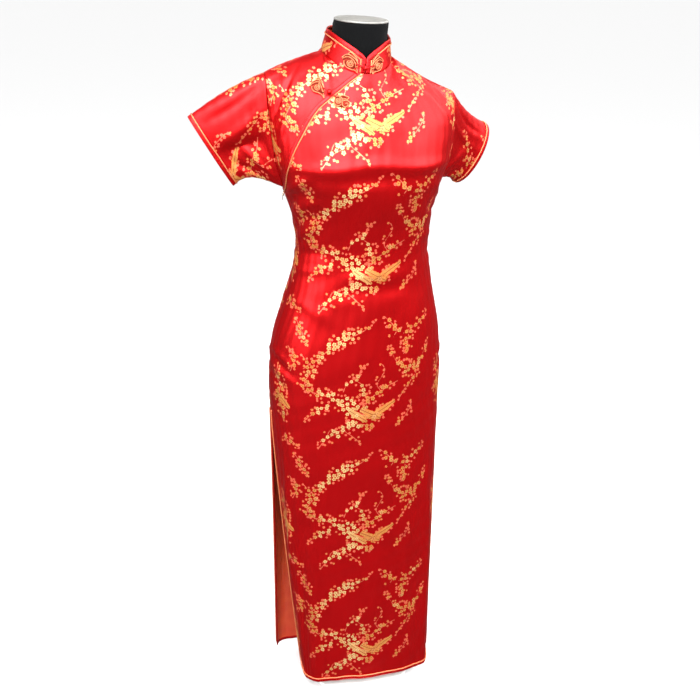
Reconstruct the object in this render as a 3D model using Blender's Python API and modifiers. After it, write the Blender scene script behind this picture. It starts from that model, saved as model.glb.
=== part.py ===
"""Cheongsam dress on a limbless dress form.

Metres, +Z up. The front faces -Y and the wearer's right side is -X. The origin is the
middle of the base plate's underside. The cloth's outer face is one surface, given by a
height u and by s, which runs across from -1 at the right side seam to +1 at the left.
"""

import math

import bmesh
import bpy
import numpy as np
from mathutils import Matrix

FRONT, BACK = -1, 1
RIGHT, LEFT = -1, 1

# Cloth
WALL = 0.0012            # satin with its facing
COLLAR_WALL = 0.0020     # stiffened
SEAM_BACK = 0.00035      # every edge stops this far from its seam line
SHOULDER_BACK = 0.0007
SLEEVE_BACK = 0.0006
LAYER_GAP = 0.0004       # between a panel and what is sewn on it
LAPEL_TRIM_GAP = 0.0012  # the same along the lapel, where the cloth bends more
CUFF_TRIM_GAP = {RIGHT: 0.0014, LEFT: 0.0007}
OVERLAP_LIFT = 0.0026    # the front panel rides this far out over the yoke
LAPEL_LEAD = (-0.022, 1.356)   # s and u where the lapel's piping starts, at the collar's foot
UNDERLAP, UNDERLAP_FOOT = 0.075, 0.035   # how far the yoke runs on under it, in s

# Heights
HEM_Z = 0.030
SLIT_TOP_Z = 0.655
ARMPIT_Z = 1.115
CHEST_Z = 1.230          # sections end here and the shoulder surface starts
TOP_U = 1.360            # u at the shoulder seam and the neckline

SECTION_COLUMNS = ("z", "half", "shift", "seam_y", "front_y", "back_y", "front_round", "back_round")
SECTIONS = (
    (0.030, 0.156, 0.000, 0.012, -0.086, 0.112, 0.16, 0.08),
    (0.250, 0.164, -0.002, 0.014, -0.088, 0.116, 0.12, 0.08),
    (0.450, 0.170, -0.004, 0.016, -0.091, 0.122, 0.10, 0.08),
    (0.655, 0.175, -0.006, 0.018, -0.096, 0.128, 0.09, 0.07),
    (0.740, 0.176, -0.006, 0.018, -0.098, 0.130, 0.08, 0.06),
    (0.820, 0.168, -0.004, 0.014, -0.098, 0.122, 0.06, 0.05),
    (0.900, 0.149, 0.000, 0.008, -0.095, 0.103, 0.04, 0.04),
    (0.960, 0.135, 0.003, 0.003, -0.093, 0.088, 0.03, 0.03),
    (1.000, 0.130, 0.004, 0.000, -0.095, 0.081, 0.03, 0.03),
    (1.050, 0.134, 0.004, -0.002, -0.106, 0.080, 0.04, 0.04),
    (1.085, 0.141, 0.003, 0.000, -0.118, 0.084, 0.05, 0.05),
    (1.115, 0.149, 0.002, 0.001, -0.127, 0.088, 0.05, 0.05),
    (1.165, 0.163, 0.000, 0.002, -0.132, 0.094, 0.04, 0.04),
    (1.200, 0.169, 0.000, 0.002, -0.124, 0.098, 0.02, 0.02),
    (1.230, 0.173, 0.000, 0.002, -0.113, 0.099, 0.00, 0.00),
)

# Bust: two soft mounds in the front panel's cut
BUST_X, BUST_Z, BUST_WIDTH, BUST_RISE = 0.078, 1.160, 0.042, 0.007

# Armholes and shoulders
ARMHOLE_DEPTH = {FRONT: 0.028, BACK: 0.034}
NECK_S = 0.40            # |s| where the neckline meets the shoulder seam
NECK_X, NECK_HALF, NECK_FRONT, NECK_BACK = -0.008, 0.064, 0.070, 0.058
NECK_LEVEL, NECK_TILT, NECK_BOW, NECK_ROLL = 1.3490, 0.0160, -0.0070, 0.09
NECK_SIDE_Z = NECK_LEVEL - NECK_BOW
TIP_X, TIP_Y = 0.178, 0.002
TIP_Z = {RIGHT: 1.326, LEFT: 1.283}
SHOULDER_SAG = {RIGHT: -0.003, LEFT: 0.005}

# The big lapel: s of the front panel's edge at each height
LAPEL_COLUMNS = ("u", "s")
LAPEL = (
    (1.115, -1.00),
    (1.132, -0.89),
    (1.165, -0.75),
    (1.200, -0.640),
    (1.234, -0.526),
    (1.258, -0.437),
    (1.276, -0.345),
    (1.298, -0.266),
    (1.331, -0.160),
    (1.360, -0.066),
)

# How far each edge of a side slit has swung by the hem
SWING_COLUMNS = ("face", "side", "dx", "dy")
SWINGS = (
    (FRONT, RIGHT, 0.022, -0.030),
    (BACK, RIGHT, -0.020, 0.052),
    (FRONT, LEFT, -0.012, -0.042),
    (BACK, LEFT, 0.002, -0.022),
)
SWING_FROM = 0.30        # |s| where the swing starts
SWING_POWER = 1.3

# Large folds: ridges (+) and troughs (-) that grow from z_top to z_full
FOLD_COLUMNS = ("face", "s", "half_s", "height", "z_top", "z_full")
FOLDS = (
    (FRONT, -0.46, 0.16, 0.0045, 0.50, 0.08),
    (FRONT, -0.16, 0.14, -0.0035, 0.42, 0.06),
    (FRONT, 0.30, 0.18, 0.0035, 0.55, 0.10),
    (BACK, -0.55, 0.18, -0.0060, 0.60, 0.10),
    (BACK, -0.20, 0.18, 0.0060, 0.60, 0.08),
    (BACK, 0.22, 0.20, -0.0050, 0.55, 0.08),
    (BACK, 0.60, 0.18, 0.0050, 0.50, 0.10),
)

# Hem corners of the slits are rounded on the front panel
CORNER_UP = {FRONT: 0.034, BACK: 0.016}
CORNER_ACROSS = {FRONT: 0.070, BACK: 0.016}
QUARTER_GIRTH = 0.205    # cloth from the middle of a panel to its side, at the hem

SKIRT_ROWS = (0.030, 0.060, 0.110, 0.180, 0.270, 0.370, 0.470, 0.570, 0.655)
BODY_ROWS = (0.700, 0.745, 0.790, 0.835, 0.880, 0.920, 0.960, 1.000, 1.040, 1.075, 1.100, 1.115)
ARM_ROWS = (1.115, 1.132, 1.152, 1.178, 1.205, 1.230, 1.248, 1.265, 1.283, 1.303, 1.323, 1.343, 1.360)
COLUMNS = 24
YOKE_COLUMNS = 15

# Sleeves: the cuff's middle, half sizes and its axes
SLEEVE_COLUMNS = ("side", "middle", "up", "front", "long_half", "short_half", "top_puff", "under_puff")
SLEEVES = (
    (RIGHT, (-0.277, 0.025, 1.183), (-0.51, 0.06, 0.855), (-0.10, -0.99, 0.05), 0.0750, 0.022, 0.008, -0.022),
    (LEFT, (0.238, 0.055, 1.152), (0.49, 0.08, 0.865), (0.50, -0.86, -0.05), 0.064, 0.030, -0.008, -0.008),
)
SLEEVE_STEPS = (0.0, 0.14, 0.32, 0.52, 0.72, 0.89, 1.0)

# Stand collar
COLLAR_HEIGHT_COLUMNS = ("degrees from the centre front", "wearer's right", "wearer's left")
COLLAR_HEIGHTS = (
    (0, 0.0262, 0.0262), (6, 0.0330, 0.0336), (14, 0.0373, 0.0390), (26, 0.0408, 0.0430),
    (40, 0.0426, 0.0444), (52, 0.0426, 0.0430), (66, 0.0414, 0.0384), (84, 0.0388, 0.0346),
    (100, 0.0369, 0.0347), (130, 0.0380, 0.0373), (180, 0.0400, 0.0400),
)
COLLAR_LEAN, COLLAR_TIP = 0.20, 0.12   # inwards all round, and over to the wearer's left
COLLAR_STATIONS, COLLAR_ROWS = 36, 4
COLLAR_BUNCH = 0.62      # stations crowd towards the centre front
COLLAR_OPENING = 0.020   # half the angle left open at the centre front, radians
COLLAR_TRIM_CLEAR = 0.20 # its trim starts this share of a row above the neckline

# Trims
BAND_W, BAND_T, BAND_RIM = 0.0070, 0.0011, 0.0002
PIPING_R = 0.0012
TRIM_GAP = 0.0003

# Frog closures
FLOWER_T, FLOWER_LOBES = 0.0026, 5
KNOT_CORD_R = 0.0013
KNOT_SWELL_COLUMNS = ("share of the way", "times the cord's radius")
KNOT_SWELL = (
    (0.00, 1.0), (0.20, 1.0), (0.36, 1.0), (0.40, 2.0), (0.45, 2.7), (0.50, 3.0),
    (0.55, 2.7), (0.60, 2.0), (0.64, 1.0), (0.80, 1.0), (1.00, 1.0),
)
KNOT_LIFTS = {"collar": (0.0048, 0.0058, 0.0048), "chest": (0.0058, 0.0097, 0.0082)}
CHEST_KNOT_INSET = 0.24  # its cord starts this share of the way between the flowers
COLLAR_KNOT_REACH = 0.64
FROG_GAP = {"collar": 0.0006, "chest": 0.0014}
COLLAR_FROG_COLUMNS = ("name", "turn", "half_wide", "half_tall")
COLLAR_FROGS = (("frog_collar_right", -0.44, 0.0145, 0.0120), ("frog_collar_left", 0.362, 0.0117, 0.0116))
COLLAR_FROG_SHARE = 0.36
CHEST_FROG_COLUMNS = ("name", "s", "u", "half_wide", "half_tall")
CHEST_FROGS = (
    ("frog_chest_right", -0.412, 1.2888, 0.0128, 0.0120),
    ("frog_chest_left", -0.202, 1.2858, 0.0130, 0.0112),
)
CHEST_FROG_TURN = 0.6

# Zip
ZIP_Z = 1.1025           # the pull tab's axis
ZIP_STANDOFF = 0.0026    # slider off the seam line, outside the lifted front panel
ZIP_BEHIND = 0.0030
SLIDER_W, SLIDER_H, SLIDER_T = 0.0048, 0.0080, 0.0020
BAIL_R, BAIL_LEG, WIRE_R = 0.0020, 0.0010, 0.00045
TAB_W, TAB_L, TAB_T = 0.0040, 0.0120, 0.0008
TAB_EYE, TAB_HOLE_R = 0.0018, 0.0011

# Dress form and stand
FORM_INSET = 0.0034      # form surface behind the cloth's outer face, where it carries
FORM_SLACK = 0.008       # extra room below the bust
FORM_SHOULDER = 0.004    # and under the shoulders
FORM_ROWS = (0.700, 0.760, 0.835, 0.920, 1.000, 1.075, 1.115, 1.132, 1.152, 1.178, 1.205, 1.262, 1.320, 1.343)
FORM_COLUMNS = 13
FORM_FOOT, FORM_FOOT_DROP = 0.80, 0.020
NECK_R, NECK_ROOT_R = 0.0495, 0.0510
NECK_CENTRE_COLUMNS = ("above the neckline", "x", "y")
NECK_CENTRES = ((-0.012, -0.001, 0.000), (0.012, -0.002, -0.003), (0.042, -0.002, -0.005))
NECK_TOP_CENTRE = (0.000, -0.006)
NECK_TOP_Z, NECK_TOP_TILT, NECK_TOP_ROLL = 1.412, 0.04, 0.05
CAP_T, CAP_GAP = 0.004, 0.0003
POLE_R = 0.0125
BASE_R, BASE_T = 0.110, 0.009
BOSS_R, BOSS_H = 0.030, 0.012

COLOURS = {
    "satin": ((0.62, 0.0, 0.006), 0.35, 0.0),
    "binding": ((0.50, 0.0, 0.008), 0.4, 0.0),
    "gold_cord": ((0.80, 0.36, 0.08), 0.4, 0.3),
    "metal": ((0.55, 0.50, 0.42), 0.3, 1.0),
    "jersey": ((0.006, 0.006, 0.008), 0.9, 0.0),
    "cap": ((0.55, 0.56, 0.55), 0.5, 0.0),
    "white_paint": ((0.80, 0.80, 0.78), 0.4, 0.0),
}


def clear_scene():
    for obj in list(bpy.data.objects):
        bpy.data.objects.remove(obj, do_unlink=True)


def material(name):
    found = bpy.data.materials.get(name)
    if found:
        return found
    colour, roughness, metallic = COLOURS[name]
    made = bpy.data.materials.new(name)
    made.use_nodes = True
    shader = made.node_tree.nodes["Principled BSDF"]
    shader.inputs["Base Color"].default_value = (*colour, 1.0)
    shader.inputs["Roughness"].default_value = roughness
    shader.inputs["Metallic"].default_value = metallic
    return made


# ---- the cloth's outer surface ----

def smooth(at, stations, values):
    """Cubic curve through the stations, with slopes from their neighbours."""
    stations = np.asarray(stations, float)
    values = np.asarray(values, float)
    slopes = np.gradient(values, stations)
    at = np.clip(np.asarray(at, float), stations[0], stations[-1])
    i = np.clip(np.searchsorted(stations, at) - 1, 0, len(stations) - 2)
    width = stations[i + 1] - stations[i]
    t = (at - stations[i]) / width
    return (
        values[i] * (1 + 2 * t) * (1 - t) ** 2
        + slopes[i] * width * t * (1 - t) ** 2
        + values[i + 1] * t * t * (3 - 2 * t)
        - slopes[i + 1] * width * t * t * (1 - t)
    )


def ease(t):
    t = np.clip(t, 0.0, 1.0)
    return t * t * (3 - 2 * t)


def column(name, z):
    k = SECTION_COLUMNS.index(name)
    return smooth(z, [row[0] for row in SECTIONS], [row[k] for row in SECTIONS])


def lapel_s(u):
    return smooth(u, [row[0] for row in LAPEL], [row[1] for row in LAPEL])


def armhole_spread(u):
    """0 at the armpit and the shoulder tip, 1 halfway up the armhole."""
    w = np.clip((np.asarray(u, float) - ARMPIT_Z) / (TOP_U - ARMPIT_Z), 0.0, 1.0)
    return 2 * np.sqrt(w * (1 - w))


def fold_height(face, s, z):
    height = np.zeros_like(z)
    for fold_face, at, half, rise, z_top, z_full in FOLDS:
        if fold_face == face:
            across = ease(1 - np.abs(s - at) / half)
            height = height + rise * across * ease((z_top - z) / (z_top - z_full))
    return height


def section(face, s, z):
    s, z = np.broadcast_arrays(np.asarray(s, float), np.asarray(z, float))
    angle = 0.5 * math.pi * s
    name = "front" if face == FRONT else "back"
    fuller = column(name + "_round", z)
    edge_y = column("seam_y", z) + face * ARMHOLE_DEPTH[face] * armhole_spread(z)
    middle_y = column(name + "_y", z) + face * fold_height(face, s, z)
    x = column("half", z) * np.sin(angle) * (1 + fuller * np.cos(angle) ** 2)
    y = edge_y + (middle_y - edge_y) * np.cos(angle) * (1 + fuller * np.sin(angle) ** 2)
    x = x + column("shift", z)
    if face == FRONT:
        for side in (RIGHT, LEFT):
            away = ((x - side * BUST_X) ** 2 + (z - BUST_Z) ** 2) / BUST_WIDTH ** 2
            y = y - BUST_RISE * np.exp(-away)
    opened = np.clip((SLIT_TOP_Z - z) / (SLIT_TOP_Z - HEM_Z), 0.0, 1.0) ** SWING_POWER
    for swing_face, side, dx, dy in SWINGS:
        if swing_face == face:
            share = ease((side * s - SWING_FROM) / (1 - SWING_FROM)) * opened
            x = x + dx * share
            y = y + dy * share
    return np.stack([x, y, z], axis=-1)


def neckline(turn):
    """Neckline at an angle from the centre front, towards the wearer's left."""
    deep = np.where(np.cos(turn) > 0, NECK_FRONT, NECK_BACK)
    x = NECK_HALF * np.sin(turn)
    z = NECK_LEVEL - NECK_TILT * np.cos(turn) + NECK_BOW * np.cos(2 * turn) - NECK_ROLL * x
    return np.stack([NECK_X + x, -deep * np.cos(turn), z], axis=-1)


def top_edge(face, s):
    """Neckline in the middle, shoulder seam on each side of it."""
    side = np.sign(s)
    along = np.clip((np.abs(s) - NECK_S) / (1 - NECK_S), 0.0, 1.0)
    turn = side * 0.5 * math.pi * np.clip(np.abs(s) / NECK_S, 0.0, 1.0)
    neck = neckline(turn if face == FRONT else math.pi - turn)
    tip_z = np.where(side < 0, TIP_Z[RIGHT], TIP_Z[LEFT])
    sag = np.where(side < 0, SHOULDER_SAG[RIGHT], SHOULDER_SAG[LEFT])
    x = side * (NECK_HALF + (TIP_X - NECK_HALF) * along) + NECK_X * (1 - along)
    neck_z = NECK_SIDE_Z - side * NECK_ROLL * NECK_HALF
    z = neck_z + (tip_z - neck_z) * along - sag * np.sin(math.pi * along)
    shoulder = np.stack([x, TIP_Y * along, z], axis=-1)
    return np.where((np.abs(s) < NECK_S)[..., None], neck, shoulder)


def surface(face, s, u):
    """Outer face of the cloth."""
    s, u = np.broadcast_arrays(np.asarray(s, float), np.asarray(u, float))
    low = section(face, s, np.minimum(u, CHEST_Z))
    t = np.clip((u - CHEST_Z) / (TOP_U - CHEST_Z), 0.0, 1.0)[..., None]
    chest = section(face, s, np.full_like(s, CHEST_Z))
    below = section(face, s, np.full_like(s, CHEST_Z - 0.01))
    top = top_edge(face, s)
    reach = np.linalg.norm(top - chest, axis=-1, keepdims=True)
    leave = (chest - below) / 0.01
    shoulder_share = ease((np.abs(s) - 0.15) / (NECK_S - 0.15))[..., None]
    at_neck = np.array([0.0, -face * 0.45, 0.89])
    at_shoulder = np.array([0.0, -face * 0.99, 0.08])
    arrive = at_neck + (at_shoulder - at_neck) * shoulder_share
    high = (
        chest * (1 + 2 * t) * (1 - t) ** 2
        + leave * reach * t * (1 - t) ** 2
        + top * t * t * (3 - 2 * t)
        - arrive * reach * t * t * (1 - t)
    )
    return np.where((u > CHEST_Z)[..., None], high, low)


def outward(face, s, u):
    """Unit normal of that surface."""
    step_s, step_u = 0.004, 0.0015
    across = surface(face, np.minimum(s + step_s, 1), u) - surface(face, np.maximum(s - step_s, -1), u)
    up = surface(face, s, np.minimum(u + step_u, TOP_U)) - surface(
        face, s, np.maximum(u - step_u, HEM_Z)
    )
    return unit(np.cross(up, across) * face)


def unit(vectors):
    return vectors / np.maximum(np.linalg.norm(vectors, axis=-1, keepdims=True), 1e-12)


def lapel_lift(s, u):
    """The front panel's lift over the yoke, which fades away from the lapel's edge."""
    beside = (s - lapel_s(np.maximum(u, ARMPIT_Z))) * 0.19
    below = np.maximum(ARMPIT_Z - u, 0.0)
    return OVERLAP_LIFT * (1 - ease((beside - 0.022) / 0.05)) * (1 - ease(below / 0.06))


# ---- meshes ----

def add_object(name, mesh, finish, place):
    obj = bpy.data.objects.new(name, mesh)
    place.objects.link(obj)
    mesh.materials.append(material(finish))
    return obj


def mesh_from(name, points, faces, smooth_angle=40.0):
    mesh = bpy.data.meshes.new(name)
    mesh.from_pydata([tuple(map(float, p)) for p in points], [], faces)
    mesh.update()
    mesh.shade_smooth()
    mesh.set_sharp_from_angle(angle=math.radians(smooth_angle))
    return mesh


def grid_faces(rows, columns, closed=False, turned=False):
    faces = []
    for i in range(rows - 1):
        for j in range(columns if closed else columns - 1):
            k = (j + 1) % columns
            face = (i * columns + j, i * columns + k, (i + 1) * columns + k, (i + 1) * columns + j)
            faces.append(face[::-1] if turned else face)
    return faces


def cloth(name, grid, out, finish, place, wall=WALL, closed=False):
    """A panel: an open grid of the outer face, with its outward normals, made solid inwards."""
    rows, columns = grid.shape[:2]
    row, col = rows // 2, columns // 2
    corner_normal = np.cross(grid[row, col + 1] - grid[row, col], grid[row + 1, col] - grid[row, col])
    faces = grid_faces(rows, columns, closed, turned=corner_normal.dot(out[row, col]) < 0)
    obj = add_object(name, mesh_from(name, grid.reshape(-1, 3), faces), finish, place)
    shell = obj.modifiers.new("Wall", "SOLIDIFY")
    shell.thickness = wall
    shell.offset = -1.0
    return obj


def loft(name, rings, finish, place):
    """A closed solid through rings of equal count, with flat ends."""
    rings = np.asarray(rings)
    count, sides = rings.shape[:2]
    faces = grid_faces(count, sides, closed=True)
    faces.append(tuple(reversed(range(sides))))
    faces.append(tuple(range((count - 1) * sides, count * sides)))
    return add_object(name, mesh_from(name, rings.reshape(-1, 3), faces), finish, place)


def sweep(name, edge, into, out, profile, finish, place, closed=False):
    """A profile of (a, h) pairs carried along an edge: a into the cloth, h outwards."""
    stations = [edge + into * a + out * h for a, h in profile]
    rings = np.stack(stations, axis=1)
    count, sides = rings.shape[:2]
    if closed:
        rings = np.concatenate([rings, rings[:1]])
        faces = grid_faces(count + 1, sides, closed=True)
        faces = [tuple(v % (count * sides) for v in face) for face in faces]
        rings = rings[:count]
    else:
        faces = grid_faces(count, sides, closed=True)
        faces.append(tuple(reversed(range(sides))))
        faces.append(tuple(range((count - 1) * sides, count * sides)))
    mesh = mesh_from(name, rings.reshape(-1, 3), faces)
    face_out(mesh)
    return add_object(name, mesh, finish, place)


def face_out(mesh):
    shape = bmesh.new()
    shape.from_mesh(mesh)
    bmesh.ops.recalc_face_normals(shape, faces=shape.faces)
    shape.to_mesh(mesh)
    shape.free()


def cord(name, points, radius, finish, place, closed=False, swell=None):
    """A round cord through the points; swell gives the radius at each as a multiple."""
    curve = bpy.data.curves.new(name, "CURVE")
    curve.dimensions = "3D"
    curve.bevel_depth = radius
    curve.bevel_resolution = 2 if swell else 1
    curve.use_fill_caps = not closed
    line = curve.splines.new("POLY")
    line.points.add(len(points) - 1)
    for point, place_at in zip(line.points, points):
        point.co = (*map(float, place_at), 1.0)
    for point, factor in zip(line.points, swell or ()):
        point.radius = factor
    line.use_cyclic_u = closed
    obj = bpy.data.objects.new(name, curve)
    place.objects.link(obj)
    curve.materials.append(material(finish))
    return obj


def turned(name, profile, finish, place, steps):
    """A turned solid about an upright axis: profile of (radius, z) from top to bottom."""
    mesh = bpy.data.meshes.new(name)
    points = [(radius, 0.0, z) for radius, z in profile]
    mesh.from_pydata(points, [(i, i + 1) for i in range(len(points) - 1)], [])
    obj = add_object(name, mesh, finish, place)
    screw = obj.modifiers.new("Turn", "SCREW")
    screw.steps = steps
    screw.render_steps = steps
    screw.use_merge_vertices = True
    screw.merge_threshold = 0.00002
    screw.use_smooth_shade = True
    return obj


# ---- edges and trims ----

def edge_frame(points, out, closed=False):
    """For an edge with the cloth on its left side: unit vectors into the cloth."""
    if closed:
        tangent = np.roll(points, -1, axis=0) - np.roll(points, 1, axis=0)
    else:
        tangent = np.gradient(points, axis=0)
    return unit(np.cross(out, unit(tangent)))


def trim(name, points, out, place, gap=LAYER_GAP, closed=False, lead=None):
    """A bias band along an edge and a piping cord beside it, on the outer face. The cord
    starts at the lead point when one is given."""
    into = edge_frame(points, out, closed)
    sweep(name + "_binding", points, into, out, band_profile(gap), "binding", place, closed)
    beside = BAND_W + TRIM_GAP + PIPING_R
    line = points + into * beside + out * (gap + PIPING_R)
    if lead is not None:
        line = np.concatenate([lead[None], line])
    cord(name + "_piping", line, PIPING_R, "gold_cord", place, closed)


def band_profile(gap):
    """Cross-section of a bias band: flat below, softly domed above."""
    return (
        (BAND_RIM, gap),
        (BAND_W, gap),
        (BAND_W, gap + 0.5 * BAND_T),
        (0.5 * BAND_W, gap + BAND_T),
        (BAND_RIM, gap + 0.5 * BAND_T),
    )


# ---- pieces of the dress ----

def spread_columns(count, low=-1.0, high=1.0):
    q = np.linspace(-1, 1, count)
    bunched = 0.6 * q + 0.4 * np.sin(0.5 * math.pi * q)
    return low + (high - low) * 0.5 * (bunched + 1)


def snap(columns, corner):
    """Moves the nearest column onto the neck corner."""
    columns = columns.copy()
    columns[np.argmin(np.abs(columns - corner))] = corner
    return columns


def corner_rise(face, s):
    """How far the hem has risen where a slit's corner is rounded."""
    inside = np.clip(1 - (1 - np.abs(s)) * QUARTER_GIRTH / CORNER_ACROSS[face], 0.0, 1.0)
    return CORNER_UP[face] * (1 - np.sqrt(1 - inside ** 2))


def panel_rows(face):
    """(s, u) of every grid point of a whole panel, from hem to shoulder."""
    cut_s = 1 - SEAM_BACK / 0.18
    rows = []
    for z in SKIRT_ROWS + BODY_ROWS:
        s = spread_columns(COLUMNS, -cut_s, cut_s)
        share = np.clip((SLIT_TOP_Z - z) / (SLIT_TOP_Z - HEM_Z), 0.0, 1.0)
        rows.append((s, z + corner_rise(face, s) * share))
    for u in ARM_ROWS[1:]:
        low = lapel_s(u) if face == FRONT else -1.0
        s = spread_columns(COLUMNS, max(low, -cut_s), cut_s)
        if u == TOP_U:
            for side in (RIGHT, LEFT):
                if side > 0 or face == BACK:
                    s = snap(s, side * NECK_S)
        rows.append((s, np.full(COLUMNS, min(u, TOP_U - SHOULDER_BACK))))
    s = np.stack([row[0] for row in rows])
    u = np.stack([row[1] for row in rows])
    return s, u


def panel_grid(face):
    s, u = panel_rows(face)
    out = outward(face, s, u)
    points = surface(face, s, u)
    if face == FRONT:
        points = points + out * lapel_lift(s, u)[..., None]
    return points, out


def skirt_edge(points, out):
    """Down the right slit, along the hem and up the left slit."""
    top = len(SKIRT_ROWS) - 1
    path = [(i, 0) for i in range(top, 0, -1)]
    path += [(0, j) for j in range(COLUMNS)]
    path += [(i, COLUMNS - 1) for i in range(1, top + 1)]
    rows, cols = zip(*path)
    return points[rows, cols], out[rows, cols]


def make_panels(place):
    front, front_out = panel_grid(FRONT)
    back, back_out = panel_grid(BACK)
    cloth("front_panel", front, front_out, "satin", place)
    cloth("back_panel", back, back_out, "satin", place)
    edge, out = skirt_edge(front, front_out)
    trim("front_hem", edge, out, place)
    edge, out = skirt_edge(back, back_out)
    trim("back_hem", edge[::-1], out[::-1], place)
    first = len(SKIRT_ROWS) + len(BODY_ROWS) - 1
    lapel, lapel_out = front[first:, 0], front_out[first:, 0]
    lift = lapel_lift(*LAPEL_LEAD) + LAPEL_TRIM_GAP + PIPING_R
    lead = surface(FRONT, *LAPEL_LEAD) + outward(FRONT, *LAPEL_LEAD) * lift
    trim("lapel", lapel[::-1], lapel_out[::-1], place, gap=LAPEL_TRIM_GAP, lead=lead)


def make_yoke(place):
    rows = []
    for u in ARM_ROWS:
        under = UNDERLAP_FOOT + (UNDERLAP - UNDERLAP_FOOT) * ease((u - ARMPIT_Z) / 0.05)
        s = np.linspace(-1 + SEAM_BACK / 0.18, lapel_s(u) + under, YOKE_COLUMNS)
        if u == TOP_U:
            s = snap(s, -NECK_S)
        rows.append((s, np.full(YOKE_COLUMNS, min(u, TOP_U - SHOULDER_BACK))))
    s = np.stack([row[0] for row in rows])
    u = np.stack([row[1] for row in rows])
    cloth("right_yoke", surface(FRONT, s, u), outward(FRONT, s, u), "satin", place)


def sleeve_grid(side, middle, up, front, long_half, short_half, top_puff, under_puff):
    """Rings from the armhole to the cuff, the points going from the armpit up the front."""
    rows = np.array(ARM_ROWS)
    ahead = surface(FRONT, np.full(len(rows), float(side)), rows)
    behind = surface(BACK, np.full(len(rows), float(side)), rows)[::-1]
    arm = np.concatenate([ahead, behind[1:-1]])
    middle, up, front = np.array(middle), unit(np.array(up)), np.array(front)
    front = unit(front - up * front.dot(up))
    along = np.linalg.norm(np.diff(np.concatenate([arm, arm[:1]]), axis=0), axis=1)
    travel = np.concatenate([[0.0], np.cumsum(along)])
    half = len(rows) - 1
    turn = np.where(
        travel[:-1] <= travel[half],
        travel[:-1] / travel[half] * math.pi,
        math.pi + (travel[:-1] - travel[half]) / (travel[-1] - travel[half]) * math.pi,
    )
    ring = middle - np.cos(turn)[:, None] * up * long_half + np.sin(turn)[:, None] * front * short_half
    outer = unit(ring - middle)
    rings = []
    for r in SLEEVE_STEPS:
        swell = under_puff + (top_puff - under_puff) * 0.5 * (1 + outer[:, 2:])
        rings.append(arm * (1 - r) + ring * r + outer * swell * math.sin(math.pi * r))
    rings = np.array(rings)
    rings[0] = rings[0] + unit(rings[1] - rings[0]) * SLEEVE_BACK
    return rings


def ring_outward(rings):
    round_way = np.roll(rings, -1, axis=1) - np.roll(rings, 1, axis=1)
    along = np.gradient(rings, axis=0)
    out = unit(np.cross(round_way, along))
    from_middle = rings - rings.mean(axis=1, keepdims=True)
    return out * np.sign((out * from_middle).sum())


def make_sleeves(place):
    for row in SLEEVES:
        side = row[0]
        name = "sleeve_right" if side == RIGHT else "sleeve_left"
        rings = sleeve_grid(*row)
        out = ring_outward(rings)
        cloth(name, rings, out, "satin", place, closed=True)
        edge, out = rings[-1], out[-1]
        into = unit(rings[-2] - edge)
        cuff = "cuff_right" if side == RIGHT else "cuff_left"
        gap = CUFF_TRIM_GAP[side]
        sweep(cuff + "_binding", edge, into, out, band_profile(gap), "binding", place, closed=True)
        line = edge + into * (BAND_W + TRIM_GAP + PIPING_R) + out * (gap + PIPING_R)
        cord(cuff + "_piping", line, PIPING_R, "gold_cord", place, closed=True)


def collar_point(turn, share):
    """Outer face of the collar: turn round the neck, share of its height."""
    turn, share = np.broadcast_arrays(np.asarray(turn, float), np.asarray(share, float))
    base = neckline(turn)
    around = np.stack([np.sin(turn), -np.cos(turn), np.zeros_like(turn)], axis=-1)
    rise = unit(np.array([COLLAR_TIP, 0.0, 1.0]) - around * COLLAR_LEAN)
    angles, right, left = zip(*COLLAR_HEIGHTS)
    wrapped = (turn + math.pi) % (2 * math.pi) - math.pi
    away = np.degrees(np.abs(wrapped))
    height = np.where(wrapped < 0, smooth(away, angles, right), smooth(away, angles, left))
    return base + rise * (SEAM_BACK + height * share)[..., None]


def collar_outward(turn, share):
    step = 0.01
    round_way = collar_point(turn + step, share) - collar_point(turn - step, share)
    up = collar_point(turn, share + step) - collar_point(turn, share - step)
    return unit(np.cross(round_way, up))


def make_collar(place):
    part = np.linspace(0, 1, COLLAR_STATIONS)
    part = part - COLLAR_BUNCH * np.sin(2 * math.pi * part) / (2 * math.pi)
    turn = COLLAR_OPENING + (2 * math.pi - 2 * COLLAR_OPENING) * part
    share = np.linspace(0, 1, COLLAR_ROWS)
    turns, shares = np.meshgrid(turn, share)
    grid = collar_point(turns, shares)
    out = collar_outward(turns, shares)
    cloth("collar", grid, out, "satin", place, wall=COLLAR_WALL)
    path = [(i, COLLAR_STATIONS - 1) for i in range(COLLAR_ROWS)]
    path += [(COLLAR_ROWS - 1, j) for j in range(COLLAR_STATIONS - 2, -1, -1)]
    path += [(i, 0) for i in range(COLLAR_ROWS - 2, -1, -1)]
    rows, cols = zip(*path)
    edge, out = grid[rows, cols], out[rows, cols]
    for end, inner in ((0, 1), (-1, -2)):
        edge[end] += (edge[inner] - edge[end]) * COLLAR_TRIM_CLEAR
    trim("collar", edge, out, place)


# ---- frogs ----

def flower(name, frame, wide, tall, place):
    """A lobed plaque with a raised ring and a raised middle, laid on a curved face."""
    sides = 30
    turn = np.linspace(0, 2 * math.pi, sides, endpoint=False)
    lobed = 1 + 0.14 * np.cos(FLOWER_LOBES * turn)
    rings = (
        (1.00 * lobed, 0.0),
        (1.00 * lobed, 0.55),
        (0.86 * lobed, 1.0),
        (0.62 + 0 * turn, 0.45),
        (0.44 + 0 * turn, 1.1),
        (0.24 + 0 * turn, 0.6),
        (0.10 + 0 * turn, 1.2),
    )
    built = []
    for radius, level in rings:
        a = wide * radius * np.cos(turn)
        b = tall * radius * np.sin(turn)
        built.append(frame(a, b, FLOWER_T * level))
    obj = loft(name, built, "gold_cord", place)
    face_out(obj.data)
    return obj


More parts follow.
